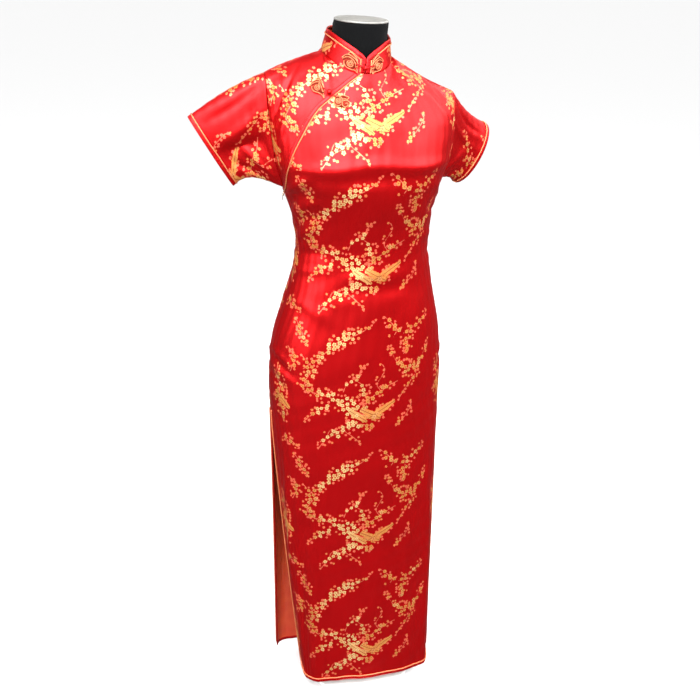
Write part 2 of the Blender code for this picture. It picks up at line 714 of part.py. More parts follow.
def panel_frame(s0, u0, turn, lift):
    """Maps flat (a, b, h) near a point of the front onto its curved face."""
    here = surface(FRONT, s0, u0)
    per_s = (surface(FRONT, s0 + 0.01, u0) - here) / 0.01
    per_u = (surface(FRONT, s0, u0 + 0.005) - here) / 0.005
    scale = np.linalg.inv(
        np.array([[per_s.dot(per_s), per_s.dot(per_u)], [per_s.dot(per_u), per_u.dot(per_u)]])
    )
    right = unit(per_s)
    up = unit(per_u - right * per_u.dot(right))

    def frame(a, b, h):
        along = math.cos(turn) * a - math.sin(turn) * b
        above = math.sin(turn) * a + math.cos(turn) * b
        moved = along[:, None] * right + above[:, None] * up
        steps = np.stack([moved.dot(per_s), moved.dot(per_u)], axis=-1) @ scale
        s, u = s0 + steps[:, 0], u0 + steps[:, 1]
        return surface(FRONT, s, u) + outward(FRONT, s, u) * (lift + h)

    return frame


def collar_frame(turn0, share0, lift):
    here = collar_point(turn0, share0)
    per_turn = np.linalg.norm(collar_point(turn0 + 0.01, share0) - here) / 0.01
    per_share = np.linalg.norm(collar_point(turn0, share0 + 0.01) - here) / 0.01

    def frame(a, b, h):
        turn, share = turn0 + a / per_turn, share0 + b / per_share
        return collar_point(turn, share) + collar_outward(turn, share) * (lift + h)

    return frame


def knot(name, start, end, lifts, face_point, face_out, place):
    """A ball knot on a cord that arches from one flower to the other."""
    points = []
    for share, _ in KNOT_SWELL:
        at = np.array(start) + (np.array(end) - np.array(start)) * share
        arch = math.sin(math.pi * share)
        lift = lifts[0] + (lifts[2] - lifts[0]) * share
        lift += (lifts[1] - 0.5 * (lifts[0] + lifts[2])) * arch
        points.append(face_point(*at) + face_out(*at) * lift)
    cord(name, points, KNOT_CORD_R, "binding", place, swell=[row[1] for row in KNOT_SWELL])


def make_frogs(place):
    for name, turn, wide, tall in COLLAR_FROGS:
        frame = collar_frame(turn, COLLAR_FROG_SHARE, FROG_GAP["collar"])
        flower(name, frame, wide, tall, place)
    start, end = ((row[1] * COLLAR_KNOT_REACH, COLLAR_FROG_SHARE) for row in COLLAR_FROGS)
    knot("knot_collar", start, end, KNOT_LIFTS["collar"], collar_point, collar_outward, place)
    for name, s, u, wide, tall in CHEST_FROGS:
        raised = OVERLAP_LIFT if s > lapel_s(u) else 0.0
        flower(name, panel_frame(s, u, CHEST_FROG_TURN, raised + FROG_GAP["chest"]), wide, tall, place)
    centres = np.array([row[1:3] for row in CHEST_FROGS])
    inset = (centres[1] - centres[0]) * CHEST_KNOT_INSET

    def front_point(s, u):
        return surface(FRONT, s, u)

    def front_out(s, u):
        return outward(FRONT, s, u)

    knot("knot_chest", centres[0] + inset, centres[1] - inset, KNOT_LIFTS["chest"], front_point, front_out, place)


# ---- zip ----

def make_zip(place):
    """The slider at the top of the side zip, its bail, and the pull tab threaded on it."""
    seam = surface(BACK, -1.0, ZIP_Z)
    face_x, y = float(seam[0]) - ZIP_STANDOFF, float(seam[1]) + ZIP_BEHIND
    bpy.ops.mesh.primitive_cube_add(size=1.0)
    slider = bpy.context.object
    slider.name = slider.data.name = "zip_slider"
    for holder in list(slider.users_collection):
        holder.objects.unlink(slider)
    place.objects.link(slider)
    slider.data.transform(Matrix.Diagonal((SLIDER_T, SLIDER_W, SLIDER_H, 1.0)))
    slider.data.materials.append(material("metal"))
    slider.location = (face_x - 0.5 * SLIDER_T, y, ZIP_Z)
    rounded = slider.modifiers.new("Round", "BEVEL")
    rounded.width = 0.0006
    rounded.segments = 2

    outer_x = face_x - SLIDER_T
    axis_x = outer_x - BAIL_LEG
    turns = np.linspace(-0.5 * math.pi, 0.5 * math.pi, 11)
    arc = [(axis_x - BAIL_R * math.cos(turn), y, ZIP_Z + BAIL_R * math.sin(turn)) for turn in turns]
    inner_x = outer_x - TRIM_GAP
    wire = [(inner_x, y, ZIP_Z - BAIL_R)] + arc + [(inner_x, y, ZIP_Z + BAIL_R)]
    cord("zip_bail", np.array(wire), WIRE_R, "metal", place)

    outline = bpy.data.curves.new("zip_tab", "CURVE")
    outline.dimensions = "2D"
    outline.fill_mode = "BOTH"
    outline.extrude = 0.5 * TAB_T
    half, end = 0.5 * TAB_W, TAB_L - TAB_EYE
    rounds = np.linspace(0, math.pi, 7)
    shape = [(half * math.cos(r), TAB_EYE - half + half * math.sin(r)) for r in rounds]
    shape += [(-0.8 * half, -end + 0.0008), (-0.4 * half, -end), (0.4 * half, -end), (0.8 * half, -end + 0.0008)]
    hole = [(TAB_HOLE_R * math.cos(r), TAB_HOLE_R * math.sin(r)) for r in np.linspace(0, 2 * math.pi, 13)[:-1]]
    for loop in (shape, hole):
        line = outline.splines.new("POLY")
        line.points.add(len(loop) - 1)
        line.use_cyclic_u = True
        for point, (a, b) in zip(line.points, loop):
            point.co = (a, b, 0.0, 1.0)
    outline.materials.append(material("metal"))
    tab = bpy.data.objects.new("zip_tab", outline)
    place.objects.link(tab)
    hinge = bpy.data.objects.new("zip_hinge", None)
    place.objects.link(hinge)
    hinge.location = (axis_x, y, ZIP_Z)
    tab.parent = hinge
    tab.location = (0.0, 0.0, -BAIL_R)
    tab.rotation_euler = (0.5 * math.pi, 0.0, 0.5 * math.pi)
    return hinge.location


# ---- dress form and stand ----

def neck_ring(turn, radius, x, y, z):
    return np.stack([x + radius * np.sin(turn), y - radius * np.cos(turn), z], axis=-1)


def neck_top(turn, radius, height):
    x, y = radius * np.sin(turn), -radius * np.cos(turn)
    return NECK_TOP_Z + height - NECK_TOP_ROLL * x + NECK_TOP_TILT * y


def make_form(place):
    """Torso and neck: the cloth's surface set inwards, with flat sides under the armholes."""
    across = np.linspace(-0.97, 0.97, FORM_COLUMNS)
    turn = np.concatenate([0.5 * math.pi * across, math.pi - 0.5 * math.pi * across[::-1]])
    rings = []
    for u in FORM_ROWS:
        inset = FORM_INSET + FORM_SLACK * ease((ARMPIT_Z - 0.02 - u) / 0.10)
        inset = inset + FORM_SHOULDER * ease((u - CHEST_Z) / 0.06)
        ring = []
        for face, s in ((FRONT, across), (BACK, across[::-1])):
            level = np.full_like(s, u)
            ring.append(surface(face, s, level) - outward(face, s, level) * inset)
        rings.append(np.concatenate(ring))
    foot = rings[0] * np.array([FORM_FOOT, FORM_FOOT, 1.0]) - np.array([0.0, 0.0, FORM_FOOT_DROP])
    base_z = neckline(turn)[:, 2]
    necks = []
    for above, x, y in NECK_CENTRES:
        necks.append(neck_ring(turn, NECK_ROOT_R if above < 0 else NECK_R, x, y, base_z + above))
    necks.append(neck_ring(turn, NECK_R, *NECK_TOP_CENTRE, neck_top(turn, NECK_R, -CAP_GAP)))
    form = loft("form_torso", [foot] + rings + necks, "jersey", place)
    face_out(form.data)
    discs = [
        neck_ring(turn, radius, *NECK_TOP_CENTRE, neck_top(turn, NECK_R, height))
        for radius, height in (
            (NECK_R - 0.0004, 0.0),
            (NECK_R - 0.0002, 0.4 * CAP_T),
            (NECK_R - 0.0020, CAP_T),
        )
    ]
    cap = loft("neck_cap", discs, "cap", place)
    face_out(cap.data)
    return foot[0, 2]


def make_stand(place, form_foot_z):
    """The pole with its boss and round base, as one turned piece."""
    pole_top = float(form_foot_z) - TRIM_GAP
    boss_z = BASE_T + BOSS_H
    profile = (
        (0.0, pole_top),
        (POLE_R, pole_top),
        (POLE_R, boss_z),
        (BOSS_R - 0.001, boss_z),
        (BOSS_R, boss_z - 0.001),
        (BOSS_R + 0.002, BASE_T),
        (BASE_R - 0.002, BASE_T),
        (BASE_R, BASE_T - 0.002),
        (BASE_R, 0.001),
        (BASE_R - 0.001, 0.0),
        (0.0, 0.0),
    )
    turned("stand", profile, "white_paint", place, steps=32)


def main():
    clear_scene()
    place = bpy.data.collections.new("cheongsam_dress")
    bpy.context.scene.collection.children.link(place)
    make_panels(place)
    make_yoke(place)
    make_sleeves(place)
    make_collar(place)
    make_frogs(place)
    make_zip(place)
    form_foot_z = make_form(place)
    make_stand(place, form_foot_z)


main()
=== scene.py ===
"""Looks for a red plum-blossom cheongsam on a limbless dress form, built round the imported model.

Metres, +Z up, in the frame of the CAD model: the front faces -Y, the wearer's right is -X.
The cloth's outer face is the same surface as the model's, with its finer creases added. On it
s runs from -1 at the right side seam to 1 at the left one, and u from the hem to the shoulder.
"""

import math
from functools import partialmethod

import bmesh
import bpy
import numpy as np
from mathutils import Matrix


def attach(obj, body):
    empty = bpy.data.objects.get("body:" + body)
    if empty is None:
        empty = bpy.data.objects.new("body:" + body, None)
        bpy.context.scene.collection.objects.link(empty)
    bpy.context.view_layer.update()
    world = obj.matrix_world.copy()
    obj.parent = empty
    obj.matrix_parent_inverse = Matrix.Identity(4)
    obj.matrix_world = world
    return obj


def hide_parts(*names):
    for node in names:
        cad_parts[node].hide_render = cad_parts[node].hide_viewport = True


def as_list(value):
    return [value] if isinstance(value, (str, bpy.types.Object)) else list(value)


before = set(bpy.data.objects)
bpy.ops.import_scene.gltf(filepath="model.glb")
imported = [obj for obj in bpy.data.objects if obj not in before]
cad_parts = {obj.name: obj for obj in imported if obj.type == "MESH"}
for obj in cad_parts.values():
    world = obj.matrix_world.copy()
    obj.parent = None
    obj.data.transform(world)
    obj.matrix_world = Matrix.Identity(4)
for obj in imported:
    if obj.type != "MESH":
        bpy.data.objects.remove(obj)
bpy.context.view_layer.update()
BODY = "dress_and_form"

FRONT, BACK = -1, 1
RIGHT, LEFT = -1, 1

# Cloth
WALL = 0.0012            # satin with its facing
COLLAR_WALL = 0.002     # stiffened
SEAM_BACK = 0.00035      # the collar's foot is this far above the neckline
SEAM_OPEN = 0.0002       # each side of a seam stops this far from the seam line
LAYER_GAP = 0.0004       # between a panel and what is sewn on it
GIRTH = 0.205            # metres of cloth for one unit of s, near the hips
OVERLAP_LIFT = 0.0026    # the front panel rides this far out over the yoke
LAPEL_LEAD = (-0.022, 1.356)   # s and u where the lapel's piping starts, at the collar's foot
UNDERLAP, UNDERLAP_FOOT = 0.075, 0.035   # how far the yoke runs on under it, in s
CUT_S = 1 - SEAM_OPEN / 0.18   # s where a panel is cut at its side seam
PANEL_ROWS, FRONT_COLUMNS, BACK_COLUMNS = 236, 112, 116
NECK_CORNER = 0.72       # share of a front row where the neck's left corner is

# Heights
HEM_Z = 0.03
SLIT_TOP_Z = 0.655
ARMPIT_Z = 1.115
CHEST_Z = 1.23           # sections end here and the shoulder surface starts
TOP_U = 1.36             # u at the shoulder seam and the neckline

SECTION_COLUMNS = ("z", "half", "shift", "seam_y", "front_y", "back_y", "front_round", "back_round")
SECTIONS = np.array((
    (0.03, 0.156, 0.0, 0.012, -0.086, 0.112, 0.16, 0.08),
    (0.25, 0.164, -0.002, 0.014, -0.088, 0.116, 0.12, 0.08),
    (0.45, 0.17, -0.004, 0.016, -0.091, 0.122, 0.1, 0.08),
    (0.655, 0.175, -0.006, 0.018, -0.096, 0.128, 0.09, 0.07),
    (0.74, 0.176, -0.006, 0.018, -0.098, 0.13, 0.08, 0.06),
    (0.82, 0.168, -0.004, 0.014, -0.098, 0.122, 0.06, 0.05),
    (0.9, 0.149, 0.0, 0.008, -0.095, 0.103, 0.04, 0.04),
    (0.96, 0.135, 0.003, 0.003, -0.093, 0.088, 0.03, 0.03),
    (1.0, 0.13, 0.004, 0.0, -0.095, 0.081, 0.03, 0.03),
    (1.05, 0.134, 0.004, -0.002, -0.106, 0.08, 0.04, 0.04),
    (1.085, 0.141, 0.003, 0.0, -0.118, 0.084, 0.05, 0.05),
    (1.115, 0.149, 0.002, 0.001, -0.127, 0.088, 0.05, 0.05),
    (1.165, 0.163, 0.0, 0.002, -0.132, 0.094, 0.04, 0.04),
    (1.2, 0.169, 0.0, 0.002, -0.124, 0.098, 0.02, 0.02),
    (1.23, 0.173, 0.0, 0.002, -0.113, 0.099, 0.0, 0.0),
))

# Bust: two soft mounds in the front panel's cut
BUST_X, BUST_Z, BUST_WIDTH, BUST_RISE = 0.078, 1.16, 0.042, 0.007

# Armholes, neckline and shoulders
ARMHOLE_DEPTH = {FRONT: 0.028, BACK: 0.034}
NECK_S = 0.4            # |s| where the neckline meets the shoulder seam
NECK_X, NECK_HALF, NECK_FRONT, NECK_BACK = -0.008, 0.064, 0.07, 0.058
NECK_LEVEL, NECK_TILT, NECK_BOW, NECK_ROLL = 1.349, 0.016, -0.007, 0.09
NECK_SIDE_Z = NECK_LEVEL - NECK_BOW
TIP_X, TIP_Y = 0.178, 0.002
TIP_Z = {RIGHT: 1.326, LEFT: 1.283}
SHOULDER_SAG = {RIGHT: -0.003, LEFT: 0.005}

# The big lapel: u and s of the front panel's edge
LAPEL = np.array((
    (1.115, -1.0), (1.132, -0.89), (1.165, -0.75), (1.2, -0.64), (1.234, -0.526),
    (1.258, -0.437), (1.276, -0.345), (1.298, -0.266), (1.331, -0.16), (1.36, -0.066),
))

# How far each edge of a side slit has swung by the hem: side, dx, dy
SWINGS = {
    FRONT: ((RIGHT, 0.022, -0.03), (LEFT, -0.012, -0.042)),
    BACK: ((RIGHT, -0.02, 0.052), (LEFT, 0.002, -0.022)),
}
SWING_FROM = 0.3        # |s| where the swing starts
SWING_POWER = 1.3

# Large folds, ridges (+) and troughs (-): s, half_s, height, and z where they start and are full
FOLDS = {
    FRONT: ((-0.46, 0.16, 0.0045, 0.5, 0.08), (-0.16, 0.14, -0.0035, 0.42, 0.06),
            (0.3, 0.18, 0.0035, 0.55, 0.1)),
    BACK: ((-0.55, 0.18, -0.006, 0.6, 0.1), (-0.2, 0.18, 0.006, 0.6, 0.08),
           (0.22, 0.2, -0.005, 0.55, 0.08), (0.6, 0.18, 0.005, 0.5, 0.1)),
}

# Rounded hem corners of the slits
CORNER_UP = {FRONT: 0.034, BACK: 0.016}
CORNER_ACROSS = {FRONT: 0.07, BACK: 0.016}

# Sleeves: the cuff's middle, its axes up and to the front, its half sizes, and how far the
# sleeve swells on top and below
SLEEVES = {
    RIGHT: ((-0.277, 0.025, 1.183), (-0.51, 0.06, 0.855), (-0.1, -0.99, 0.05),
            0.075, 0.022, 0.008, -0.022),
    LEFT: ((0.238, 0.055, 1.152), (0.49, 0.08, 0.865), (0.5, -0.86, -0.05),
           0.064, 0.03, -0.008, -0.008),
}
SLEEVE_LONG = 0.11
SLEEVE_ROUND = 0.075     # metres of cloth for a radian of the sleeve

# Stand collar: degrees from the centre front, its height on the wearer's right and left
COLLAR_HEIGHTS = (
    (0, 0.0262, 0.0262), (6, 0.033, 0.0336), (14, 0.0373, 0.039), (26, 0.0408, 0.043),
    (40, 0.0426, 0.0444), (52, 0.0426, 0.043), (66, 0.0414, 0.0384), (84, 0.0388, 0.0346),
    (100, 0.0369, 0.0347), (130, 0.038, 0.0373), (180, 0.04, 0.04),
)
COLLAR_TALL = 0.036
COLLAR_LEAN, COLLAR_TIP = 0.2, 0.12   # inwards all round, and over to the wearer's left
COLLAR_OPENING = 0.02   # half the angle left open at the centre front, radians

# Trims: the binding's outline in mm, into the cloth and out of it
BAND_W = 0.007
BAND = 0.001 * np.array((
    (7.0, 0.1), (6.8, 0.62), (5.6, 0.86), (3.6, 0.94), (1.6, 0.86), (0.4, 0.66), (-0.2, 0.25),
    (-0.45, -0.3), (-0.5, -0.7), (-0.35, -1.25), (0.2, -1.62), (1.8, -1.82), (4.0, -1.86),
    (6.6, -1.7), (7.0, -1.25),
))
PIPING_R, PIPING_SIDES = 0.0012, 10
PIPING_SEAT = PIPING_R * 0.85   # its middle above the cloth
TRIM_GAP = 0.0003
LAPEL_STATIONS, LAPEL_EASE = 110, 0.007   # of its trim, and how far it cuts across creases

# Frog closures: name, place on the collar (turn) or the chest (s, u), half its size
COLLAR_FROGS = (
    ("frog_collar_right", -0.44, 0.0145, 0.012),
    ("frog_collar_left", 0.362, 0.0117, 0.0116),
)
CHEST_FROGS = (
    ("frog_chest_right", -0.412, 1.2888, 0.0128, 0.012),
    ("frog_chest_left", -0.202, 1.2858, 0.013, 0.0112),
)
COLLAR_FROG_SHARE = 0.36
COLLAR_FLOWER_LIFT, CHEST_FLOWER_LIFT = 0.0006 + 0.0005, 0.0014 + 0.0007

# Knots: lift of the cord at its start, middle and end; the cord and the ball
COLLAR_KNOT_LIFTS, CHEST_KNOT_LIFTS = (0.0048, 0.0058, 0.0048), (0.0058, 0.0097, 0.0082)
CHEST_KNOT_INSET = 0.24  # its cord starts this share of the way between the flowers
COLLAR_KNOT_REACH = 0.64
KNOT_CORD_R, BALL_R = 0.0013, 0.0042

# Dress form and stand
FORM_INSET = 0.0075      # jersey behind the cloth's outer face
FORM_SLACK = 0.008       # extra room below the bust
FORM_SHOULDER = 0.004    # and under the shoulders
NECK_R, NECK_ROOT_R = 0.0495, 0.051
NECK_CENTRES = np.array((   # above the neckline, x, y
    (-0.012, -0.001, 0.0), (0.012, -0.002, -0.003), (0.042, -0.002, -0.005),
))
NECK_TOP_CENTRE = (0.0, -0.006)
NECK_TOP_Z, NECK_TOP_TILT, NECK_TOP_ROLL = 1.412, 0.04, 0.05
CAP_T, CAP_GAP = 0.004, 0.0003
POLE_R = 0.0125
BASE_R, BASE_T = 0.11, 0.009
BOSS_R, BOSS_H = 0.03, 0.012

# Soft creases, listed from one end (s, u) to the other, then in millimetres the half
# width, the height (- for a trough) and how far the middle bows sideways
CREASES = {
    FRONT: (
        # bust: the cloth turns under along one soft ridge
        (-0.62, 1.168, 0.1, 1.179, 11, 2.6, -4), (-0.1, 1.178, 0.8, 1.166, 11, 3.0, -5),
        (-0.5, 1.146, 0.7, 1.143, 14, -2.2, 3),
        # drag lines from the right armpit towards the bust and down to the waist
        (-0.93, 1.1, -0.5, 1.15, 7, 2.4, 6), (-0.95, 1.082, -0.52, 1.125, 7, -2.4, 6),
        (-0.95, 1.06, -0.45, 1.105, 8, 2.2, 7), (-0.96, 1.034, -0.42, 1.08, 8, -2.0, 8),
        (-0.96, 1.008, -0.5, 1.052, 8, 1.8, 6), (-0.95, 0.985, -0.4, 1.0, 9, -1.6, 5),
        (-0.93, 0.962, -0.46, 0.972, 9, 1.6, -4),
        # the same, softer, on the left
        (0.95, 1.09, 0.55, 1.13, 8, 1.8, 6), (0.95, 1.062, 0.5, 1.092, 8, -1.8, 6),
        (0.96, 1.02, 0.55, 1.03, 9, 1.6, 5), (0.96, 0.985, 0.6, 0.984, 9, -1.4, 4),
        # waist and belly
        (-0.3, 0.955, 0.36, 0.948, 16, 1.6, 6), (-0.24, 0.922, 0.44, 0.93, 16, -1.6, 5),
        (-0.75, 0.905, -0.3, 0.87, 12, 1.6, 5),
        # hips: short drag lines above the slit
        (-0.97, 0.8, -0.62, 0.776, 5, 1.6, 3), (-0.97, 0.784, -0.58, 0.757, 5, -1.6, 3),
        (-0.98, 0.766, -0.55, 0.74, 6, 1.7, 3), (-0.98, 0.748, -0.6, 0.716, 6, -1.5, 3),
        (0.97, 0.79, 0.64, 0.768, 6, 1.4, 3), (0.97, 0.768, 0.62, 0.742, 6, -1.4, 3),
        # skirt: long soft lines
        (-0.72, 0.56, -0.9, 0.2, 12, 2.2, 8), (-0.5, 0.43, -0.66, 0.06, 15, -2.6, -8),
        (-0.18, 0.25, -0.24, 0.035, 8, 2.0, 4), (-0.1, 0.2, -0.12, 0.04, 8, -1.8, 2),
        (0.55, 0.52, 0.62, 0.08, 16, 2.4, 8), (0.78, 0.6, 0.86, 0.15, 12, -2.2, 6),
        # chest and shoulders
        (-0.55, 1.3, -0.85, 1.2, 8, 1.6, 5), (-0.66, 1.33, -0.92, 1.235, 8, -1.6, 5),
        (-0.22, 1.335, -0.44, 1.352, 7, 2.0, 4), (0.5, 1.345, 0.9, 1.25, 9, 1.6, 6),
        (0.36, 1.33, 0.8, 1.22, 9, -1.4, 6), (0.92, 1.25, 0.72, 1.15, 8, 1.6, 5),
    ),
    BACK: (
        # back: from the shoulder blades to the waist, and the seat
        (-0.9, 1.2, -0.45, 1.13, 9, 1.8, 6), (-0.92, 1.16, -0.45, 1.09, 9, -1.8, 6),
        (0.9, 1.19, 0.48, 1.125, 9, 1.8, 6), (0.92, 1.15, 0.5, 1.08, 9, -1.8, 6),
        (-0.92, 1.045, -0.3, 1.02, 9, 2.2, 6), (-0.93, 1.015, -0.25, 0.99, 9, -2.2, 6),
        (-0.9, 0.985, -0.2, 0.962, 10, 2.0, 6), (0.92, 1.03, 0.25, 1.01, 9, 2.0, 6),
        (0.93, 1.0, 0.2, 0.976, 9, -2.0, 6), (0.9, 0.968, 0.24, 0.946, 10, 1.8, 6),
        (-0.12, 1.0, 0.14, 0.992, 10, 1.6, 3), (-0.96, 0.79, -0.55, 0.74, 7, 1.8, 4),
        (-0.96, 0.765, -0.52, 0.712, 7, -1.8, 4), (0.96, 0.785, 0.58, 0.742, 7, 1.8, 4),
        (0.96, 0.758, 0.55, 0.712, 7, -1.6, 4), (-0.08, 0.6, -0.16, 0.08, 14, 2.4, 8),
        (0.3, 0.56, 0.38, 0.06, 15, -2.6, 8), (-0.62, 0.52, -0.72, 0.08, 14, 2.2, 6),
        (0.74, 0.5, 0.82, 0.1, 13, 2.2, 6), (-0.55, 1.33, -0.85, 1.24, 9, 1.6, 5),
        (0.55, 1.325, 0.86, 1.235, 9, 1.6, 5), (-0.25, 1.345, 0.26, 1.34, 8, -1.6, 4),
        (-0.3, 1.32, 0.28, 1.312, 9, 1.6, 4),
    ),
}

# The same on the sleeves, each end as a turn (radians from the armpit, up the front and over
# the top) and a share of the way from armhole to cuff
SLEEVE_CREASES = {
    RIGHT: (
        (0.35, 0.1, 1.6, 0.55, 8, 2.6, 5), (0.15, 0.3, 1.2, 0.8, 8, -2.4, 5),
        (0.55, 0.02, 2.3, 0.25, 8, -2.2, 4), (2.2, 0.05, 1.7, 0.85, 9, 2.4, 6),
        (2.75, 0.1, 2.35, 0.8, 9, -2.4, 6), (3.8, 0.1, 4.2, 0.85, 9, 2.2, 6),
        (4.4, 0.05, 4.9, 0.8, 9, -2.2, 6), (5.7, 0.15, 5.1, 0.8, 8, 2.2, 5),
    ),
    LEFT: (
        (0.4, 0.1, 1.5, 0.6, 7, 2.0, 5), (0.2, 0.35, 1.1, 0.85, 7, -1.8, 5),
        (2.1, 0.05, 1.7, 0.85, 8, 1.8, 5), (2.7, 0.1, 2.3, 0.8, 8, -1.8, 5),
        (3.9, 0.1, 4.2, 0.85, 8, 2.0, 5), (4.6, 0.05, 5.0, 0.8, 8, -2.0, 5),
        (5.7, 0.15, 5.2, 0.8, 8, 2.0, 5),
    ),
}

# Woven pattern: it repeats in a tile, and its middle motif is at this place on the front
TILE_W, TILE_H = 0.36, 0.284
TILE_LOW = -0.1        # the tile's lower edge below the middle motif
MOTIF_X, MOTIF_V = -0.033, 0.698
THIN, WIDTHS = -20.0, 60.0   # half width that stands for no branch, and how far above it

# Branches of the woven pattern, in mm from the middle motif: x or height, the other of the
# two, and half the width of its blossom. An upright branch goes by its height.
UPRIGHTS = (
    ((24, -72, -1), (34, -84, 6), (48, -91, 8), (62, -84, 8), (78, -76, 6), (92, -88, 2),
     (104, -98, -3)),
    ((14, 14, -1), (24, 24, 5), (34, 25, 6), (44, 20, 6), (52, 10, 4), (60, 2, -2), (72, 12, -4),
     (84, 22, -4)),
    ((-96, -66, -3), (-84, -58, 0), (-74, -50, 6), (-62, -46, 6), (-54, -42, -1)),
    ((98, 106, -1), (108, 111, 5), (124, 114, 7), (140, 116, 8), (150, 124, 2)),
    ((136, 82, -1), (148, 88, 6), (160, 80, 8), (170, 70, 3), (178, 62, -3)),
    ((0, 98, -4), (12, 104, -3), (24, 112, 2), (36, 122, 4), (48, 132, 3), (58, 138, -2)),
    ((-58, 92, -3), (-48, 98, 1), (-40, 110, 4), (-28, 120, 2), (-16, 126, -3), (-4, 120, -4)),
    ((-48, -140, -3), (-34, -144, 3), (-16, -148, 10), (6, -152, 12), (30, -150, 9), (54, -156, 6),
     (72, -160, -2)),
    ((122, -86, -3), (134, -92, 3), (148, -100, 6), (162, -108, 4), (174, -118, -3)),
    ((28, 58, -3), (40, 52, -3), (56, 60, 1), (70, 66, -3), (84, 60, -4)),
    ((30, -16, -2), (42, -10, 2), (54, 2, 3), (64, 14, 0), (76, 20, -3), (88, 34, -4)),
    ((-92, 20, -4), (-80, 14, -1), (-70, 4, 2), (-60, -8, 2), (-52, -16, -2)),
    ((66, -124, -3), (78, -118, 2), (92, -112, 4), (104, -120, 1), (116, -130, -3)),
)
LEVELS = (
    ((-84, 30, -2), (-66, 25, 7), (-46, 20, 8), (-26, 8, 12), (-6, -5, 19), (14, -17, 21),
     (34, -25, 18), (54, -24, 11), (72, -14, 5), (88, -4, -2)),
    ((-94, 76, -2), (-80, 88, 7), (-62, 100, 8), (-46, 117, 10), (-26, 134, 12), (-6, 141, 10),
     (14, 150, 5), (32, 161, 2), (44, 172, -3)),
    ((20, 4, -2), (36, 12, 5), (52, 20, 7), (64, 27, 6), (78, 36, 0), (94, 42, -3)),
    ((-62, -80, -3), (-48, -71, 5), (-30, -62, 9), (-14, -49, 6), (0, -41, 8), (18, -43, 9),
     (36, -47, 6), (46, -50, -2)),
    ((-96, -38, -3), (-84, -26, 0), (-70, -15, 4), (-56, -5, 6), (-42, -1, -2)),
    ((72, 117, -2), (80, 104, 5), (88, 88, 6), (100, 74, 9), (116, 66, 11), (132, 66, 7),
     (146, 79, 5), (158, 97, 3), (170, 112, -2)),
    ((104, 140, -2), (118, 147, 7), (134, 152, 7), (150, 163, 4), (162, 174, -2)),
    ((-150, -86, -3), (-136, -80, 2), (-124, -84, 5), (-112, -92, 0), (-104, -97, -3)),
)

# Broad leaves of the middle motif: foot and tip in mm, half width
LEAVES = (
    (34, -32, 90, 0, 6.5), (18, -10, 60, -34, 7.0), (-6, -10, 30, -36, 6.5),
    (-158, 12, -124, -14, 6.5),
)

BLOSSOM_PITCH, BUD_PITCH = 0.0098, 0.0068
BLOSSOM_R, BUD_R = 0.0045, 0.0029
PETALS = 5


# ---- the surface of the dress ----

def hermite(t, first, leave, last, arrive):
    """Cubic from one value to another with given slopes, t from 0 to 1."""
    return (
        first * (1 + 2 * t) * (1 - t) ** 2
        + leave * t * (1 - t) ** 2
        + last * t * t * (3 - 2 * t)
        - arrive * t * t * (1 - t)
    )


def smooth(at, stations, values):
    """Cubic curve through the stations, with slopes from their neighbours."""
    stations = np.asarray(stations, float)
    values = np.asarray(values, float)
    slopes = np.gradient(values, stations)
    at = np.clip(np.asarray(at, float), stations[0], stations[-1])
    i = np.clip(np.searchsorted(stations, at) - 1, 0, len(stations) - 2)
    width = stations[i + 1] - stations[i]
    t = (at - stations[i]) / width
    return hermite(t, values[i], slopes[i] * width, values[i + 1], slopes[i + 1] * width)


def ease(t):
    t = np.clip(t, 0.0, 1.0)
    return t * t * (3 - 2 * t)


def unit(vectors):
    return vectors / np.maximum(np.linalg.norm(vectors, axis=-1, keepdims=True), 1e-12)


def travel(points):
    """Distance along a line of points, or along several side by side, from 0 at its start."""
    steps = np.linalg.norm(np.diff(points, axis=0), axis=-1)
    return np.concatenate([np.zeros_like(steps[:1]), np.cumsum(steps, axis=0)])


def nearest(stations, value):
    return int(np.argmin(np.abs(stations - value)))


def column(name, z):
    return smooth(z, SECTIONS[:, 0], SECTIONS[:, SECTION_COLUMNS.index(name)])


def lapel_s(u):
    return smooth(u, *LAPEL.T)


def armhole_spread(u):
    """0 at the armpit and the shoulder tip, 1 halfway up the armhole."""
    w = np.clip((np.asarray(u, float) - ARMPIT_Z) / (TOP_U - ARMPIT_Z), 0.0, 1.0)
    return 2 * np.sqrt(w * (1 - w))


def fold_height(face, s, z):
    height = np.zeros_like(z)
    for at, half, rise, z_top, z_full in FOLDS[face]:
        across = ease(1 - np.abs(s - at) / half)
        height = height + rise * across * ease((z_top - z) / (z_top - z_full))
    return height


def slit_share(z):
    """0 at the top of the slits, 1 at the hem."""
    return np.clip((SLIT_TOP_Z - z) / (SLIT_TOP_Z - HEM_Z), 0.0, 1.0)


def section(face, s, z):
    s, z = np.broadcast_arrays(np.asarray(s, float), np.asarray(z, float))
    angle = 0.5 * math.pi * s
    name = "front" if face == FRONT else "back"
    fuller = column(name + "_round", z)
    edge_y = column("seam_y", z) + face * ARMHOLE_DEPTH[face] * armhole_spread(z)
    middle_y = column(name + "_y", z) + face * fold_height(face, s, z)
    x = column("half", z) * np.sin(angle) * (1 + fuller * np.cos(angle) ** 2)
    y = edge_y + (middle_y - edge_y) * np.cos(angle) * (1 + fuller * np.sin(angle) ** 2)
    x = x + column("shift", z)
    if face == FRONT:
        for side in (RIGHT, LEFT):
            away = ((x - side * BUST_X) ** 2 + (z - BUST_Z) ** 2) / BUST_WIDTH ** 2
            y = y - BUST_RISE * np.exp(-away)
    for side, dx, dy in SWINGS[face]:
        beside = ease((side * s - SWING_FROM) / (1 - SWING_FROM))
        share = beside * slit_share(z) ** SWING_POWER
        x = x + dx * share
        y = y + dy * share
    return np.stack([x, y, z], axis=-1)


